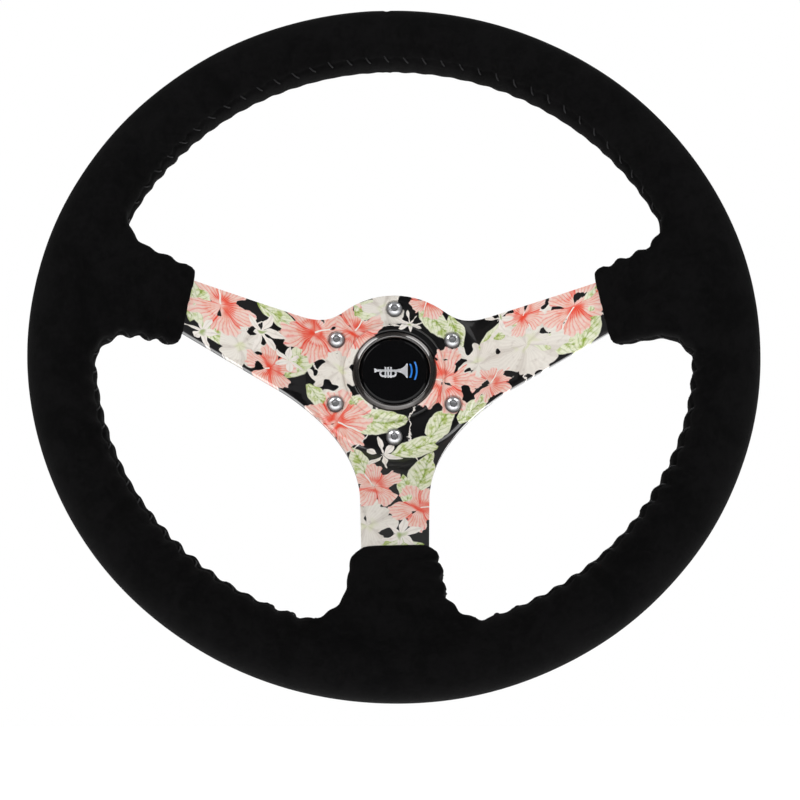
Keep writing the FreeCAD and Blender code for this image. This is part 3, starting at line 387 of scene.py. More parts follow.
def metal(dark, light, low, high, brush, pit=0.25):
    # a machined or plated metal: brushing round the axis or along it, faint handling marks
    def build(board):
        spot = board.place()
        stretched = board.add("ShaderNodeMapping", None, {"Vector": spot, "Scale": brush})
        lines = board.noise(stretched, 1.0, 4.0, 0.6)
        marks = board.noise(spot, 0.16, 4.0, 0.65, 0.8).between(0.45, 0.72)
        colour = board.mix((lines * 0.6 + marks * 0.5).clamped(), dark, light)
        rough = (lines * 0.5 + marks * 0.5).between(0.2, 0.85) * (high - low) + low
        relief = bumped(board, lines, pit, 0.00008)
        return {"Base Color": colour, "Roughness": rough, "Normal": relief}
    return build


chromeLook = {"dark": (0.60, 0.61, 0.63), "light": (0.90, 0.90, 0.92), "paintedShade": (0.035, 0.035, 0.038)}


def chromed(board):
    # bright plating with painted shade: darker and duller where the screw's painted-shade attribute is high
    recessShade = board.add("ShaderNodeAttribute", {"attribute_name": "recessShade"}, None, "Fac")
    plain = metal(chromeLook["dark"], chromeLook["light"], 0.10, 0.22, (2, 2, 2), 0.02)(board)
    # painted shade: the plating's colour goes dark in the socket and under the head's edge
    colour = board.mix(recessShade, plain["Base Color"], chromeLook["paintedShade"])
    return {**plain, "Base Color": colour, "Roughness": plain["Roughness"] + recessShade * 0.3}


def moulded(dark, light, low, high, grainScale):
    # plastic or foam with the fine cells of its mould
    def build(board):
        spot = board.place()
        inputs = {"Vector": spot, "Scale": grainScale}
        cells = board.add("ShaderNodeTexVoronoi", None, inputs, "Distance")
        cloud = board.noise(spot, 0.2, 3.0)
        colour = board.mix(cloud, dark, light)
        rough = cloud * (high - low) + low
        relief = bumped(board, cells, 0.25, 0.0001)
        return {"Base Color": colour, "Roughness": rough, "Normal": relief}
    return build


bezelLook = {"dark": (0.030, 0.025, 0.023), "light": (0.050, 0.042, 0.038), "coat": 0.9, "dulled": 0.55,
             "dullFrom": 20.7, "dullTo": 21.6}


def bezelSkin(board):
    # bright on the crest, duller down the outer wall
    look = bezelLook
    skin = polished(look["dark"], look["light"], 0.14, 0.26)(board)
    across = board.vector("MULTIPLY", board.place(), (1, 0, 1))
    radius = board.vector("LENGTH", across, output="Value")
    dulling = radius.between(look["dullFrom"], look["dullTo"]) * look["dulled"]
    return {**skin, "Coat Weight": look["coat"] - dulling}


def polished(dark, light, low, high):
    # a glossy skin with fine wiping marks in its gloss
    def build(board):
        spot = board.place()
        haze = board.noise(spot, 0.12, 3.0, 0.6)
        wiped = board.add("ShaderNodeMapping", None, {"Vector": spot, "Scale": (6, 1, 0.8)})
        wipe = board.noise(wiped, 1.0, 2.0)
        colour = board.mix(haze, dark, light)
        rough = (haze * 0.6 + wipe * 0.4) * (high - low) + low
        relief = bumped(board, haze, 0.03, 0.0002)
        return {"Base Color": colour, "Roughness": rough, "Normal": relief}
    return build


# how far the brushing is squeezed in x, y and z
alongAxis = (7, 0.3, 7)
roundAxis = (0.25, 9, 0.25)
finishes = {
    "printed_metal": newMaterial("floralLacquer", floralPrint, specularIorLevel=0.2, coatWeight=1.0,
                                 coatRoughness=0.045, coatIor=1.38),
    "suede": newMaterial("blackSuede", napped, specularIorLevel=0.06, sheenWeight=0.010, sheenRoughness=0.4),
    "thread": newMaterial("waxedThread", waxedThread, specularIorLevel=0.22),
    "bezel": newMaterial("bronzeBlackBezel", bezelSkin, metallic=0.75, coatRoughness=0.05, coatIor=2.1),
    "gloss_black": newMaterial("pianoBlack",
                               polished((0.0016, 0.0016, 0.002), (0.003, 0.003, 0.0036), 0.05, 0.11),
                               specularIorLevel=0.18, coatWeight=0.2, coatRoughness=0.03),
    "white_print": newMaterial("silverPrint",
                               metal((0.62, 0.63, 0.66), (0.86, 0.87, 0.90), 0.22, 0.38, (3, 3, 3)),
                               metallic=0.35),
    "blue_print": newMaterial("bluePrint", moulded((0.015, 0.16, 0.62), (0.03, 0.27, 0.85), 0.2, 0.3, 3.0),
                              coatWeight=0.6, coatRoughness=0.05),
    "steel": newMaterial("zincPlatedSteel",
                         metal((0.40, 0.41, 0.44), (0.64, 0.65, 0.68), 0.22, 0.40, alongAxis, 0.1),
                         metallic=1.0),
    "screw": newMaterial("chromedScrew", chromed, metallic=0.55),
    "aluminium": newMaterial("millAluminium",
                             metal((0.58, 0.58, 0.60), (0.80, 0.80, 0.82), 0.32, 0.5, roundAxis),
                             metallic=1.0),
    "foam": newMaterial("mouldedFoam", moulded((0.03, 0.03, 0.03), (0.05, 0.05, 0.05), 0.7, 0.85, 1.6)),
    "black_plastic": newMaterial("blackNylon",
                                 moulded((0.010, 0.010, 0.011), (0.022, 0.022, 0.023), 0.42, 0.6, 2.4)),
    "brass": newMaterial("stampedBrass", metal((0.58, 0.40, 0.15), (0.83, 0.64, 0.30), 0.2, 0.38, (4, 4, 4)),
                         metallic=1.0),
    "anodised": newMaterial("blackAnodised",
                            metal((0.012, 0.012, 0.014), (0.030, 0.030, 0.034), 0.30, 0.46, roundAxis),
                            metallic=0.85),
    "barrel_steel": newMaterial("hardenedSteel",
                                metal((0.20, 0.19, 0.185), (0.36, 0.35, 0.34), 0.26, 0.42, roundAxis, 0.1),
                                metallic=1.0),
    "collar_alloy": newMaterial("satinAlloy",
                                metal((0.42, 0.43, 0.45), (0.56, 0.57, 0.59), 0.36, 0.50, roundAxis, 0.08),
                                metallic=1.0),
    "ball_steel": newMaterial("bearingSteel",
                              metal((0.70, 0.70, 0.72), (0.86, 0.86, 0.88), 0.05, 0.12, (1, 1, 1), 0.05),
                              metallic=1.0)}
slotOf = {part["node"]: part["material_slot"] for part in frame["record"]["subparts"]}
bodies = frame["record"]["behaviour"]["bodies"]
bodyOf = {node: body for body, members in bodies.items() for node in members}
for name, node in nodes.items():
    node.data.materials.clear()
    node.data.materials.append(finishes[slotOf[name]])
print("finishes made:", len(finishes))


def newObject(name, mesh, finish, body, slot, *replaced):
    item = bpy.data.objects.new(name, mesh)
    bpy.context.scene.collection.objects.link(item)
    if finish:
        mesh.materials.clear()
        mesh.materials.append(finishes[finish])
    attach(item, body)
    if replaced:
        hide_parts(*replaced)
    return item


def baked(item):
    # the object's mesh with its modifiers worked in, and the object gone
    graph = bpy.context.evaluated_depsgraph_get()
    mesh = bpy.data.meshes.new_from_object(item.evaluated_get(graph))
    bpy.data.objects.remove(item)
    return mesh


def scratch(mesh):
    item = bpy.data.objects.new("scratch", mesh)
    bpy.context.scene.collection.objects.link(item)
    return item


def bevelled(mesh, width, segments=3, angle=32):
    item = scratch(mesh)
    bevel = item.modifiers.new("bevel", "BEVEL")
    bevel.width = width
    bevel.segments = segments
    bevel.limit_method = "ANGLE"
    bevel.angle_limit = math.radians(angle)
    return baked(item)


def smoothed(mesh, angle=35):
    for polygon in mesh.polygons:
        polygon.use_smooth = True
    mesh.set_sharp_from_angle(angle=math.radians(angle))
    return mesh


merging = {"gap": 0.000004, "dissolve": 0.6}


def softened(node, width):
    # a merged copy of a CAD node with its sharp edges broken
    work = bmesh.new()
    work.from_mesh(nodes[node].data)
    bmesh.ops.remove_doubles(work, verts=work.verts, dist=merging["gap"])
    limit = math.radians(merging["dissolve"])
    bmesh.ops.dissolve_limit(work, angle_limit=limit, verts=work.verts, edges=work.edges)
    mesh = bpy.data.meshes.new(f"{node}_soft")
    work.to_mesh(mesh)
    work.free()
    return smoothed(bevelled(mesh, width, 2))


def lathe(profile, segments, width, name):
    # a closed shape turned about the axis; places are (radius, y)
    work = bmesh.new()
    rings = []
    for radius, y in profile:
        if radius < 1e-7:
            rings.append([work.verts.new((0, y, 0))])
            continue
        turn = [math.tau * step / segments for step in range(segments)]
        rings.append([work.verts.new((radius * math.cos(a), y, radius * math.sin(a))) for a in turn])
    pairs = list(zip(rings, rings[1:] + rings[:1]))
    for first, second in pairs:
        for step in range(segments):
            after = (step + 1) % segments
            if len(first) == 1 and len(second) == 1:
                break
            corners = [first[step % len(first)], first[after % len(first)],
                       second[after % len(second)], second[step % len(second)]]
            unique = list(dict.fromkeys(corners))
            if len(unique) > 2:
                work.faces.new(unique)
    bmesh.ops.recalc_face_normals(work, faces=work.faces)
    mesh = bpy.data.meshes.new(name)
    work.to_mesh(mesh)
    work.free()
    return smoothed(bevelled(mesh, width, 3, 20), 30)


def loft(work, rings):
    # joins closed rings of equal count and caps both ends
    lines = [[work.verts.new(place) for place in ring] for ring in rings]
    count = len(lines[0])
    for first, second in zip(lines, lines[1:]):
        for step in range(count):
            after = (step + 1) % count
            work.faces.new((first[step], first[after], second[after], second[step]))
    work.faces.new(list(reversed(lines[0])))
    work.faces.new(lines[-1])


def geometryTree(name, sockets):
    tree = bpy.data.node_groups.new(name, "GeometryNodeTree")
    for label, kind in sockets:
        tree.interface.new_socket(name=label, in_out="INPUT", socket_type=kind)
    tree.interface.new_socket(name="Geometry", in_out="OUTPUT", socket_type="NodeSocketGeometry")
    board = Board(tree)
    entry = tree.nodes.new("NodeGroupInput")
    read = {socket.name: Signal(board, socket) for socket in entry.outputs if socket.name}
    return tree, board, read


def finishTree(board, geometry, material):
    real = board.add("GeometryNodeRealizeInstances", None, {0: geometry})
    shaded = board.add("GeometryNodeSetMaterial", None, {"Geometry": real, "Material": material})
    board.add("NodeGroupOutput", None, {0: shaded})


def objectShape(board, item):
    settings = {"transform_space": "ORIGINAL"}
    return board.add("GeometryNodeObjectInfo", settings, {"Object": item}, "Geometry")


def tubed(board, line, radius, sides):
    # the line as a round wire with closed ends
    ring = board.add("GeometryNodeCurvePrimitiveCircle", {"mode": "RADIUS"},
                     {"Resolution": sides, "Radius": radius})
    inputs = {"Curve": line, "Profile Curve": ring, "Fill Caps": True}
    return board.add("GeometryNodeCurveToMesh", None, inputs)


def grown(tree, values, name):
    # runs a geometry tree on an empty mesh and returns what it made
    item = scratch(bpy.data.meshes.new(name))
    modifier = item.modifiers.new("grow", "NODES")
    modifier.node_group = tree
    for socket in tree.interface.items_tree:
        if socket.in_out == "INPUT" and socket.name in values:
            modifier[socket.identifier] = values[socket.name]
    mesh = baked(item)
    mesh.name = name
    return mesh


# lengths in metres, angles in degrees; power squares the arm's section
grip = {"voxel": 0.00125, "armEnd": 0.1037, "armHalf": 0.0196, "lowerEnd": 0.0160, "taper": 0.11,
        "flare": 6.5, "neck": -0.0024, "fillet": 0.0145, "filletReach": 1.5, "cover": 0.0045,
        "rimThick": 0.011, "slope": 43.0, "bend": 0.0465, "midPlane": 0.0015, "rimReach": 0.35, "power": 5.0,
        "stations": 26, "around": 56, "ringSteps": 360, "tubeSteps": 48, "smooth": 7,
        "mouth": [(0.90, 0.0006), (0.97, 0.0003)]}


def armCurve(share):
    # the arm's middle line as (radius, y), with its direction: down the spoke, then flat into the rim
    slope = math.tan(math.radians(grip["slope"]))
    half = plateThickness / 2 / math.cos(math.radians(grip["slope"]))
    lean = (2 * grip["cover"] + plateThickness) / 2 * math.sin(math.radians(grip["slope"]))

    def onSlope(radius):
        return plateFront + half - (radius - grip["bend"]) * slope
    flat = rimPlane + grip["midPlane"]
    start = Vector((grip["armEnd"] + lean, onSlope(grip["armEnd"] + lean)))
    knee = Vector((grip["bend"] + (plateFront + half - flat) / slope, flat))
    end = Vector((rimRadius - gripRadius * grip["rimReach"], rimPlane))
    place = start * (1 - share) ** 2 + knee * 2 * share * (1 - share) + end * share ** 2
    ahead = (knee - start) * 2 * (1 - share) + (end - knee) * 2 * share
    return place, ahead.normalized()


def armWidth(radius, share, azimuth):
    # half the arm's width: flared, filleted into the rim, and drawn in at the lower arm's mouth
    wide = grip["armHalf"] + (radius - grip["armEnd"]) * math.tan(math.radians(grip["flare"]))
    neck = rimRadius - gripRadius + grip["neck"]
    bend = min(max((radius - neck + grip["fillet"]) / grip["fillet"], 0), 0.97)
    wide += grip["fillet"] * grip["filletReach"] * (1 - math.sqrt(1 - bend * bend))
    if math.sin(math.radians(azimuth)) < 0:
        wide -= (grip["armHalf"] - grip["lowerEnd"]) * max(0, 1 - share / grip["taper"]) ** 1.6
    return wide


def armAxes(azimuth):
    turn = math.radians(azimuth)
    out = Vector((math.cos(turn), 0, math.sin(turn)))
    side = Vector((-math.sin(turn), 0, math.cos(turn)))
    return out, side


def armRing(azimuth, share, shrink=1.0, back=0.0):
    # one closed section of an arm, a rounded rectangle
    out, side = armAxes(azimuth)
    place, ahead = armCurve(share)
    place = place - ahead * back
    wide = armWidth(place.x, share, azimuth) * shrink
    half = grip["cover"] + plateThickness / 2
    blend = share * share * (3 - 2 * share)
    thick = (half + (grip["rimThick"] - half) * blend) * shrink
    centre = out * place.x + Vector((0, place.y, 0))
    through = out * -ahead.y + Vector((0, ahead.x, 0))
    power = 2 / grip["power"]
    ring = []
    for step in range(grip["around"]):
        angle = math.tau * step / grip["around"]
        c, s = math.cos(angle), math.sin(angle)
        w = math.copysign(abs(c) ** power, c) * wide
        t = math.copysign(abs(s) ** power, s) * thick
        ring.append(centre + side * w + through * t)
    return ring


def rimTube(work):
    # a plain round tube bent into the rim's circle
    around, across = grip["ringSteps"], grip["tubeSteps"]
    rows = []
    for step in range(around):
        turn = math.tau * step / around
        row = []
        for index in range(across):
            angle = math.tau * index / across
            radius = rimRadius + gripRadius * math.cos(angle)
            y = rimPlane + gripRadius * math.sin(angle)
            row.append(work.verts.new((radius * math.cos(turn), y, radius * math.sin(turn))))
        rows.append(row)
    for first, second in zip(rows, rows[1:] + rows[:1]):
        for index in range(across):
            after = (index + 1) % across
            work.faces.new((first[index], first[after], second[after], second[index]))


def gripBlank():
    # three arms and the rim melted into one skin
    work = bmesh.new()
    for azimuth in armAzimuths:
        rings = [armRing(azimuth, 0.0, shrink, back) for shrink, back in grip["mouth"]]
        rings += [armRing(azimuth, step / grip["stations"]) for step in range(grip["stations"] + 1)]
        loft(work, rings)
    rimTube(work)
    bmesh.ops.recalc_face_normals(work, faces=work.faces)
    mesh = bpy.data.meshes.new("gripBlank")
    work.to_mesh(mesh)
    work.free()
    item = scratch(mesh)
    remesh = item.modifiers.new("remesh", "REMESH")
    remesh.mode = "VOXEL"
    remesh.voxel_size = grip["voxel"]
    relax = item.modifiers.new("relax", "SMOOTH")
    relax.factor = 0.5
    relax.iterations = grip["smooth"]
    return baked(item)


seam = {"armShares": [0.06, 0.16, 0.26, 0.36, 0.46, 0.56], "spans": 26, "front": 20.0, "spacing": 0.0008,
        "passes": 2, "relaxing": 12}


def besideArm(azimuth, share, hand):
    # a place on the arm's side; hand is 1 or -1
    out, side = armAxes(azimuth)
    place = armCurve(share)[0]
    wide = armWidth(place.x, share, azimuth)
    return out * place.x + Vector((0, place.y, 0)) + side * wide * hand


def seamGuess(index):
    # along one arm's side, round the inside of the rim and back along the next arm
    first = armAzimuths[index]
    second = armAzimuths[(index + 1) % len(armAzimuths)]
    if second < first:
        second += 360
    places = [besideArm(first, share, 1) for share in seam["armShares"]]
    reach = rimRadius - gripRadius
    clear = math.degrees(math.atan2(grip["armHalf"] + grip["fillet"] * grip["filletReach"], reach))
    for step in range(seam["spans"] + 1):
        share = step / seam["spans"]
        turn = math.radians(first + clear + (second - first - 2 * clear) * share)
        rise = min(share * 4, 4 - share * 4, 1)
        lean = math.radians(seam["front"]) * math.sin(math.pi * rise / 2)
        inward = rimRadius - gripRadius * math.cos(lean)
        y = rimPlane - gripRadius * math.sin(lean)
        places.append(Vector((inward * math.cos(turn), y, inward * math.sin(turn))))
    return places + [besideArm(second, share, -1) for share in reversed(seam["armShares"])]


def onSurface(places, tree):
    # evenly spaced points of the line, laid on the grip
    line = [Vector(place) for place in places]
    for repeat in range(seam["passes"]):
        dense = []
        for first, second in zip(line, line[1:]):
            steps = max(1, round((second - first).length / seam["spacing"]))
            dense += [first.lerp(second, step / steps) for step in range(steps)]
        dense.append(line[-1])
        dense = [tree.find_nearest(place)[0] for place in dense]
        for relaxing in range(seam["relaxing"]):
            middle = [(dense[i - 1] + dense[i] * 2 + dense[i + 1]) / 4 for i in range(1, len(dense) - 1)]
            dense = [dense[0]] + middle + [dense[-1]]
        line = dense
    return [tree.find_nearest(place)[0] for place in line]


# how the skin is pushed in and out, in metres
skin = {"pitch": 0.0097, "scallop": 0.00070, "scallopReach": 0.0125, "groove": 0.00075, "grooveReach": 0.0011,
        "joinPlace": -0.005, "join": 0.0006, "joinReach": 0.0009, "ruck": 0.00016, "ruckReach": 0.004,
        "rucks": 14, "tension": 0.00010}


def asArray(vectors, key):
    values = np.empty(len(vectors) * 3)
    vectors.foreach_get(key, values)
    return values.reshape(-1, 3)


def alongSeams(places, lines):
    # for every place, how far the nearest seam is and how far along that seam
    samples = []
    for line in lines:
        run = 0.0
        for index, place in enumerate(line):
            if index:
                run += (place - line[index - 1]).length
            samples.append((place, run))
    find = KDTree(len(samples))
    for index, sample in enumerate(samples):
        find.insert(sample[0], index)
    find.balance()
    found = [find.find(place) for place in places]
    away = np.array([distance for place, index, distance in found])
    run = np.array([samples[index][1] for place, index, distance in found])
    return away, run


def hill(away, reach):
    # 1 in the middle, fading out over the reach
    return np.exp(-(away / reach) ** 2)


def scallops(co, lines):
    # the skin swells between stitches and sinks along the seam, never quite evenly
    away, run = alongSeams(co, lines)
    swell = np.sin(run * 97.0) * 0.32 + np.sin(run * 41.0 + 1.3) * 0.3 + 0.95
    wave = np.cos(run * math.tau / skin["pitch"] + np.sin(run * 55.0) * 0.5)
    near = hill(away, skin["scallopReach"])
    return skin["scallop"] * swell * wave * near - skin["groove"] * hill(away, skin["grooveReach"])


def closingJoin(co):
    # the join across the tube at the top, with small rucks beside it
    top = co[:, 2] > rimRadius * 0.8
    beside = co[:, 0] - skin["joinPlace"]
    angle = np.arctan2(co[:, 1] - rimPlane, np.hypot(co[:, 0], co[:, 2]) - rimRadius)
    rucks = skin["ruck"] * hill(beside, skin["ruckReach"]) * np.cos(angle * skin["rucks"])
    return top * (rucks - skin["join"] * hill(beside, skin["joinReach"]))


def tension(co):
    # slow, uneven pull of the skin
    return skin["tension"] * np.sin(co[:, 0] * 61 + co[:, 2] * 23) * np.sin(co[:, 2] * 57 - co[:, 1] * 71)


def suedeCover():
    mesh = gripBlank()
    corners = [vertex.co.copy() for vertex in mesh.vertices]
    tree = BVHTree.FromPolygons(corners, [polygon.vertices[:] for polygon in mesh.polygons])
    lines = [onSurface(seamGuess(index), tree) for index in range(len(armAzimuths))]
    co = asArray(mesh.vertices, "co")
    normal = asArray(mesh.vertex_normals, "vector")
    push = scallops(co, lines) + closingJoin(co) + tension(co)
    co += normal * push[:, None]
    mesh.vertices.foreach_set("co", co.reshape(-1))
    mesh.update()
    for polygon in mesh.polygons:
        polygon.use_smooth = True
    item = newObject("suedeGrip", mesh, "suede", "wheel", "suede", "suede_cover", "rim_foam")
    return item, lines


cover, seamLines = suedeCover()
print("suede grip:", len(cover.data.polygons), "faces")


lacing = {"pitch": skin["pitch"], "length": 0.0060, "thread": 0.00040, "lift": 0.0004, "slant": 36.0,
          "sink": 0.0008, "hug": 0.7}


def onSkin(board, suede, value):
    inputs = {"Mesh": suede, "Value": value}
    return board.add("GeometryNodeSampleNearestSurface", {"data_type": "FLOAT_VECTOR"}, inputs)


def arch(board, half, sink, rise, thread):
    # a bowed length of thread along x, closed at its ends
    start = board.add("ShaderNodeCombineXYZ", None, {0: 0 - half, 2: 0 - sink})
    end = board.add("ShaderNodeCombineXYZ", None, {0: half, 2: 0 - sink})
    crest = board.add("ShaderNodeCombineXYZ", None, {2: rise})
    line = board.add("GeometryNodeCurveQuadraticBezier", None,
                     {"Resolution": 7, "Start": start, "Middle": crest, "End": end})
    return tubed(board, line, thread, 6)


def lacingTree():
    # a slanted stitch at every pitch of the seam, its ends sunk into the skin
    sockets = [("Seam", "NodeSocketObject"), ("Grip", "NodeSocketObject"), ("Pitch", "NodeSocketFloat"),
               ("Length", "NodeSocketFloat"), ("Thread", "NodeSocketFloat"), ("Lift", "NodeSocketFloat"),
               ("Sink", "NodeSocketFloat"), ("Slant", "NodeSocketFloat"), ("Hug", "NodeSocketFloat"),
               ("Seed", "NodeSocketInt")]
    tree, board, read = geometryTree("lacing", sockets)
    path = objectShape(board, read["Seam"])
    suede = objectShape(board, read["Grip"])
    points = board.add("GeometryNodeCurveToPoints", {"mode": "LENGTH"},
                       {"Curve": path, "Length": read["Pitch"]})
    tangent = Signal(board, points.socket.node.outputs["Tangent"])
    here = board.add("GeometryNodeInputPosition")
    hugged = board.mixVector(read["Hug"], here, onSkin(board, suede, here))
    points = board.add("GeometryNodeSetPosition", None, {"Geometry": points, "Position": hugged})
    facing = onSkin(board, suede, board.add("GeometryNodeInputNormal"))
    turned = board.add("FunctionNodeAxesToRotation", {"primary_axis": "Z", "secondary_axis": "X"},
                       {"Primary Axis": facing, "Secondary Axis": tangent})
    jitter = board.add("FunctionNodeRandomValue", {"data_type": "FLOAT"},
                       {2: -0.12, 3: 0.12, "Seed": read["Seed"]}, 1)
    slant = board.add("FunctionNodeAxisAngleToRotation", None,
                      {"Axis": (0, 0, 1), "Angle": read["Slant"] + jitter})
    spun = board.add("FunctionNodeRotateRotation", {"rotation_space": "LOCAL"},
                     {"Rotation": turned, "Rotate By": slant})
    stitch = arch(board, read["Length"] * 0.5, read["Sink"], read["Lift"] * 3 + read["Sink"], read["Thread"])
    laid = board.add("GeometryNodeInstanceOnPoints", None,
                     {"Points": points, "Instance": stitch, "Rotation": spun})
    finishTree(board, laid, finishes["thread"])
    return tree


def seamCurve(index, places):
    curve = bpy.data.curves.new(f"seamPath{index}", "CURVE")
    curve.dimensions = "3D"
    spline = curve.splines.new("POLY")
    spline.points.add(len(places) - 1)
    for point, place in zip(spline.points, places):
        point.co = (*place, 1)
    item = bpy.data.objects.new(f"seamPath{index}", curve)
    bpy.context.scene.collection.objects.link(item)
    return item


def laceSeams():
    tree = lacingTree()
    joined = bmesh.new()
    for index, line in enumerate(seamLines):
        path = seamCurve(index, line)
        values = {"Seam": path, "Grip": cover, "Pitch": lacing["pitch"], "Length": lacing["length"],
                  "Thread": lacing["thread"], "Lift": lacing["lift"], "Sink": lacing["sink"],
                  "Slant": math.radians(90 + lacing["slant"]), "Hug": lacing["hug"], "Seed": index}
        mesh = grown(tree, values, "lacingRun")
        joined.from_mesh(mesh)
        bpy.data.meshes.remove(mesh)
        bpy.data.objects.remove(path)
    mesh = bpy.data.meshes.new("seamLacing")
    joined.to_mesh(mesh)
    joined.free()
    for polygon in mesh.polygons:
        polygon.use_smooth = True
    return newObject("seamLacing", mesh, "thread", "wheel", "thread", "rim_stitching")


stitches = laceSeams()
print("lacing:", len(stitches.data.polygons), "faces")


# how wide each machined piece's sharp edges are broken
edges = {"spoke_plate": 0.0010, "horn_retaining_ring": 0.0004, "coupling_flange": 0.0006,
         "coupling_barrel": 0.0003, "release_collar": 0.00035, "hex_insert": 0.0003,
         "contact_insulator": 0.0002, "horn_housing": 0.0002, "snap_ring": 0.0001, "horn_terminals": 0.00012,
         "contact_pins": 0.0003, "rim_core": 0.0005, "horn_symbol": 0.00008, "sound_arcs": 0.00008}
for node, width in edges.items():
    mesh = softened(node, width)
    newObject(f"{node}_finished", mesh, slotOf[node], bodyOf[node], slotOf[node], node)
print("plate and machined pieces:", len(edges))


button = {"bezelRadius": 0.0230, "window": 0.01935, "bezelRise": 0.0026, "crest": 0.0010, "clearance": 0.0002,
          "cheek": (0.0003, 0.0009), "shoulder": (0.0007, 0.00055), "seat": 0.001, "bezelEdge": 0.00012,
          "capRadius": 0.0192, "capRise": 0.0017, "rimWidth": 0.0017, "rimDrop": 0.0009, "rimRound": 0.0003,
          "rimStep": 0.0004, "web": 0.0023, "flangeOut": 0.00175, "lipDepth": 0.00102, "flange": 0.0012,
          "spring": 0.0175, "stem": 0.003, "stemStep": 0.001, "capEdge": 0.00022, "segments": 160}


def hornBezel():
    front = plateFront - button["bezelRise"]
    outer, window, crest = button["bezelRadius"], button["window"], button["crest"]
    inner = window + button["flangeOut"] + button["clearance"]
    cheek, shoulder = button["cheek"], button["shoulder"]
    seat = plateFront + button["seat"]
    profile = [(outer, plateBack), (outer, plateFront - button["bezelRise"] * 0.35),
               (outer - cheek[0], front + cheek[1]), (outer - shoulder[0], front + shoulder[1]),
               (window + crest * 2.1, front + crest * 0.42), (window + crest, front),
               (window + crest * 0.45, front + crest * 0.1), (window, front + crest * 0.55),
               (window, seat), (inner, seat), (inner, plateBack)]
    mesh = lathe(profile, button["segments"], button["bezelEdge"], "hornBezel")
    return newObject("hornBezel", mesh, "bezel", "wheel", "bezel", "horn_bezel")


def hornFace():
    face = plateFront - button["capRise"]
    edge = face + button["rimDrop"]
    radius, flange = button["capRadius"], button["capRadius"] + button["flangeOut"]
    top = plateFront + button["lipDepth"]
    below = top + button["flange"]
    under = face + button["web"]
    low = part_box("horn_cap")[1].y
    stem, step = button["stem"], button["stemStep"]
    profile = [(0, face), (radius - button["rimWidth"], face), (radius - button["rimRound"], edge),
               (radius, edge + button["rimStep"]), (radius, top), (flange, top), (flange, below),
               (button["spring"], below), (button["spring"], under), (stem + step, under),
               (stem + step, low - step), (stem, low - step), (stem, low), (0, low)]
    mesh = lathe(profile, button["segments"], button["capEdge"], "hornFace")
    return newObject("hornFace", mesh, "gloss_black", "horn_cap", "gloss_black", "horn_cap")


hornBezel()
hornFace()
print("horn button turned")


screw = {"head": 0.00455, "height": 0.00275, "shank": 0.0025, "length": 0.011, "tip": 0.0005,
         "socket": 0.00150, "depth": 0.0016, "circle": 0.037, "count": 6, "first": 30.0, "sink": 0.001,
         "steps": 48, "seed": 4}


def socketRings():
    # the hexagonal socket from its floor to its mouth, where it turns round
    height = screw["height"]
    rows = [(screw["depth"] - height, 0.98, 1), (0.0001 - height, 1.0, 1), (-height, 1.06, 1),
            (-height, 1.30, 0.3)]
    rings = []
    for y, scale, share in rows:
        ring = []
        for step in range(screw["steps"]):
            turn = math.tau * step / screw["steps"]
            hexagon = screw["socket"] / math.cos((turn + math.pi / 6) % (math.pi / 3) - math.pi / 6)
            radius = (hexagon * share + screw["socket"] * 1.05 * (1 - share)) * scale
            ring.append((radius * math.cos(turn), y, radius * math.sin(turn)))
        rings.append(ring)
    return rings


def bodyRings():
    # the domed head, in shares of its radius and height, and the shank
    dome = [(0.46, 0.985), (0.62, 0.94), (0.78, 0.82), (0.90, 0.62), (0.975, 0.38), (1.0, 0.16),
            (0.985, 0.03), (0.96, 0.0)]
    shank, length, tip = screw["shank"], screw["length"], screw["tip"]
    body = [(screw["head"] * radius, -screw["height"] * y) for radius, y in dome]
    body += [(shank, 0), (shank, length - tip), (shank - tip, length)]
    turns = [math.tau * step / screw["steps"] for step in range(screw["steps"])]
    return [[(radius * math.cos(a), y, radius * math.sin(a)) for a in turns] for radius, y in body]


def recessShadeAt(spot):
    # painted shade: darkest at the socket's mouth, lighter on its floor, and dark under the edge of the head
    out = math.hypot(spot.x, spot.z)
    if out < screw["socket"] * 1.35:
        onFloor = spot.y > screw["depth"] - screw["height"] - 0.00005
        return 0.25 if onFloor else 0.9
    return min(max((out / screw["head"] - 0.66) / 0.2, 0), 1) * 0.8


def screwBlank():
    # a button head screw along the axis, from the seat at y 0
    work = bmesh.new()
    loft(work, socketRings() + bodyRings())
    bmesh.ops.recalc_face_normals(work, faces=work.faces)
    mesh = bpy.data.meshes.new("screwBlank")
    work.to_mesh(mesh)
    work.free()
    # painted shade stored on the screw head, which the screw material reads to darken its colour
    shade = mesh.attributes.new("recessShade", "FLOAT", "POINT")
    for vertex, value in zip(mesh.vertices, shade.data):
        value.value = recessShadeAt(vertex.co)
    return scratch(smoothed(mesh, 28))


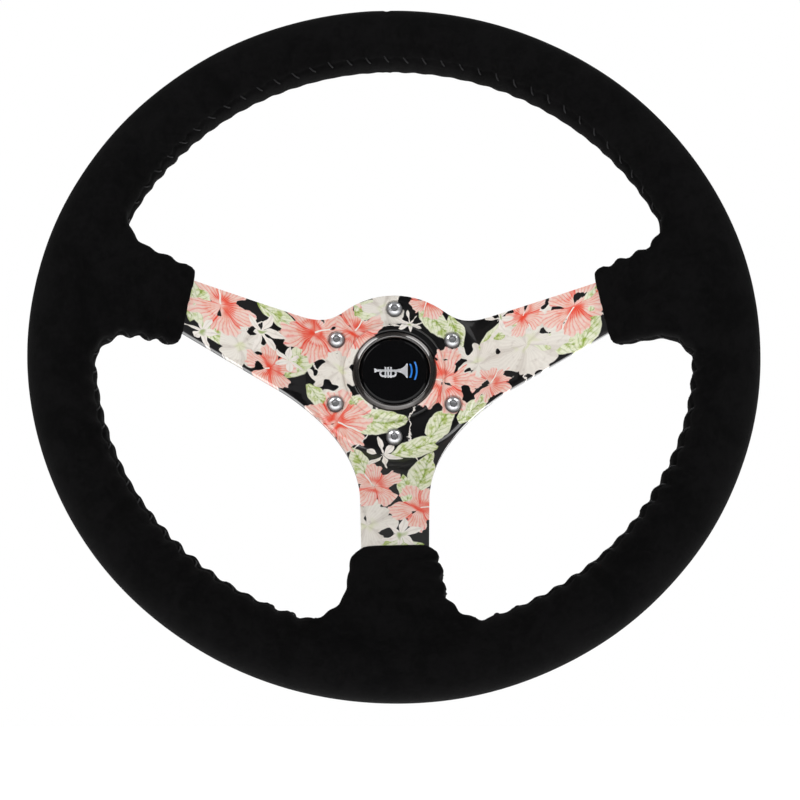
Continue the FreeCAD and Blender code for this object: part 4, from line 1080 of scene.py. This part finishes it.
def hubScrews():
    sockets = [("Blank", "NodeSocketObject"), ("Count", "NodeSocketInt"), ("Circle", "NodeSocketFloat"),
               ("First", "NodeSocketFloat"), ("Seat", "NodeSocketFloat"), ("Seed", "NodeSocketInt")]
    tree, board, read = geometryTree("screwRing", sockets)
    ring = board.add("GeometryNodeMeshCircle", {"fill_type": "NONE"},
                     {"Vertices": read["Count"], "Radius": read["Circle"]})
    shift = board.add("ShaderNodeCombineXYZ", None, {1: read["Seat"]})
    tilt = board.add("ShaderNodeCombineXYZ", None, {0: math.pi / 2, 1: 0 - read["First"]})
    stood = board.add("GeometryNodeTransform", None,
                      {"Geometry": ring, "Translation": shift, "Rotation": tilt})
    blank = objectShape(board, read["Blank"])
    spinAngle = board.add("FunctionNodeRandomValue", {"data_type": "FLOAT"},
                          {2: 0.0, 3: math.tau, "Seed": read["Seed"]}, 1)
    spin = board.add("ShaderNodeCombineXYZ", None, {1: spinAngle})
    placed = board.add("GeometryNodeInstanceOnPoints", None,
                       {"Points": stood, "Instance": blank, "Rotation": spin})
    finishTree(board, placed, finishes["screw"])
    blankItem = screwBlank()
    values = {"Blank": blankItem, "Count": screw["count"], "Circle": screw["circle"],
              "First": math.radians(screw["first"]), "Seat": plateFront + screw["sink"],
              "Seed": screw["seed"]}
    mesh = grown(tree, values, "hubScrews")
    bpy.data.objects.remove(blankItem)
    return newObject("hubScrews", mesh, None, "wheel", "steel", "hub_screws")


hubScrews()
print("hub screws set")


# fixedHigh tells which end of the spring stays with the wheel
springs = {"horn_spring": {"turns": 4.0, "wire": 0.0005, "joint": "horn_press", "stroke": 0.0015,
                           "fixedHigh": True},
           "collar_spring": {"turns": 5.0, "wire": 0.0009, "joint": "collar_pull", "stroke": 0.006,
                             "fixedHigh": False}}


def springTree():
    sockets = [("Turns", "NodeSocketFloat"), ("Radius", "NodeSocketFloat"), ("Wire", "NodeSocketFloat"),
               ("Start", "NodeSocketFloat"), ("Rise", "NodeSocketFloat")]
    tree, board, read = geometryTree("coilSpring", sockets)
    coil = board.add("GeometryNodeCurveSpiral", None,
                     {"Resolution": 40, "Rotations": read["Turns"], "Start Radius": read["Radius"],
                      "End Radius": read["Radius"], "Height": read["Rise"]})
    shift = board.add("ShaderNodeCombineXYZ", None, {1: read["Start"]})
    laid = board.add("GeometryNodeTransform", None,
                     {"Geometry": coil, "Translation": shift, "Rotation": (-math.pi / 2, 0, 0)})
    finishTree(board, tubed(board, laid, read["Wire"], 14), finishes["steel"])
    return tree


def makeSprings():
    tree = springTree()
    for node, facts in springs.items():
        low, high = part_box(node)
        wire = facts["wire"]
        values = {"Turns": facts["turns"], "Radius": high.z - wire, "Wire": wire,
                  "Start": low.y + wire, "Rise": high.y - low.y - 2 * wire}
        mesh = grown(tree, values, f"{node}_coil")
        for polygon in mesh.polygons:
            polygon.use_smooth = True
        item = newObject(f"{node}_coil", mesh, None, "wheel", "steel", node)
        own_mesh(item)


makeSprings()
print("springs wound")


studio = {"place": (-0.0043, -0.58014, -0.17592), "right": (0.99991, -0.01378, -0.00011),
          "up": (-0.00386, -0.28794, 0.95764), "ahead": (0.01322, 0.95755, 0.28796), "lens": 45.85,
          "sensor": 36.0, "floor": -0.30, "floorSize": 12.0, "floorGlow": 0.90, "toneLow": 0.085,
          "toneRise": 0.27, "aim": 0.7}
lamps = {"key": {"place": (-0.84, -1.28, 1.32), "size": 0.9, "power": 10.5},
         "fill": {"place": (0.72, -1.16, 1.34), "size": 0.9, "power": 8.0},
         "low": {"place": (0.1, -1.25, -0.22), "size": 0.5, "power": 0.8},
         "crown": {"place": (0.25, 0.95, 1.35), "size": 1.1, "power": 7.0},
         "back": {"place": (0.9, 1.2, 0.2), "size": 1.2, "power": 5.0}}


def placeCamera():
    right, up, ahead = (Vector(studio[key]) for key in ("right", "up", "ahead"))
    turn = Matrix((right, up, -ahead)).transposed().to_4x4()
    camera = bpy.data.cameras.new("camera")
    camera.lens = studio["lens"]
    camera.sensor_width = studio["sensor"]
    item = bpy.data.objects.new("camera", camera)
    item.matrix_world = Matrix.Translation(studio["place"]) @ turn
    bpy.context.scene.collection.objects.link(item)
    bpy.context.scene.camera = item


def hangLamps():
    centre = Vector((0, rimPlane * studio["aim"], 0))
    for name, facts in lamps.items():
        light = bpy.data.lights.new(name, "AREA")
        light.shape = "DISK"
        light.size = facts["size"]
        light.energy = facts["power"]
        lamp = bpy.data.objects.new(name, light)
        lamp.location = facts["place"]
        lamp.rotation_euler = (centre - Vector(facts["place"])).to_track_quat("-Z", "Y").to_euler()
        bpy.context.scene.collection.objects.link(lamp)


def paintWorld():
    # white to the camera; for light and reflections, darker on the driver's side
    world = bpy.data.worlds.new("studioWorld")
    bpy.context.scene.world = world
    world.use_nodes = True
    board = Board(world.node_tree)
    seen = board.add("ShaderNodeLightPath", output="Is Camera Ray")
    spot = board.add("ShaderNodeTexCoord", output="Generated")
    split = board.add("ShaderNodeSeparateXYZ", None, {0: spot})
    ahead = Signal(board, split.socket.node.outputs["Y"])
    tone = ahead.between(-0.80, -0.20) * studio["toneRise"] + studio["toneLow"]
    glow = board.add("ShaderNodeBackground", None, {"Color": (1, 1, 1), "Strength": tone})
    white = board.add("ShaderNodeBackground", None, {"Color": (1, 1, 1), "Strength": 1.0})
    mixed = board.add("ShaderNodeMixShader", None, {0: seen, 1: glow, 2: white})
    board.add("ShaderNodeOutputWorld", None, {"Surface": mixed})
    bpy.context.scene.view_settings.view_transform = "Standard"


def paper(board):
    grain = board.noise(board.place(), 0.02, 3.0)
    colour = board.mix(grain, (0.86, 0.86, 0.86), (0.90, 0.90, 0.90))
    return {"Base Color": colour, "Roughness": grain * 0.05 + 0.85}


def layFloor():
    half = studio["floorSize"] / 2
    work = bmesh.new()
    corners = [(-half, -half), (half, -half), (half, half), (-half, half)]
    work.faces.new([work.verts.new((x, y, studio["floor"])) for x, y in corners])
    mesh = bpy.data.meshes.new("floor")
    work.to_mesh(mesh)
    work.free()
    floor = bpy.data.objects.new("floor", mesh)
    bpy.context.scene.collection.objects.link(floor)
    mesh.materials.append(newMaterial("palePaper", paper, specularIorLevel=0.1, emissionColor=(1, 1, 1),
                                      emissionStrength=studio["floorGlow"]))


placeCamera()
hangLamps()
paintWorld()
layFloor()
print("studio set")
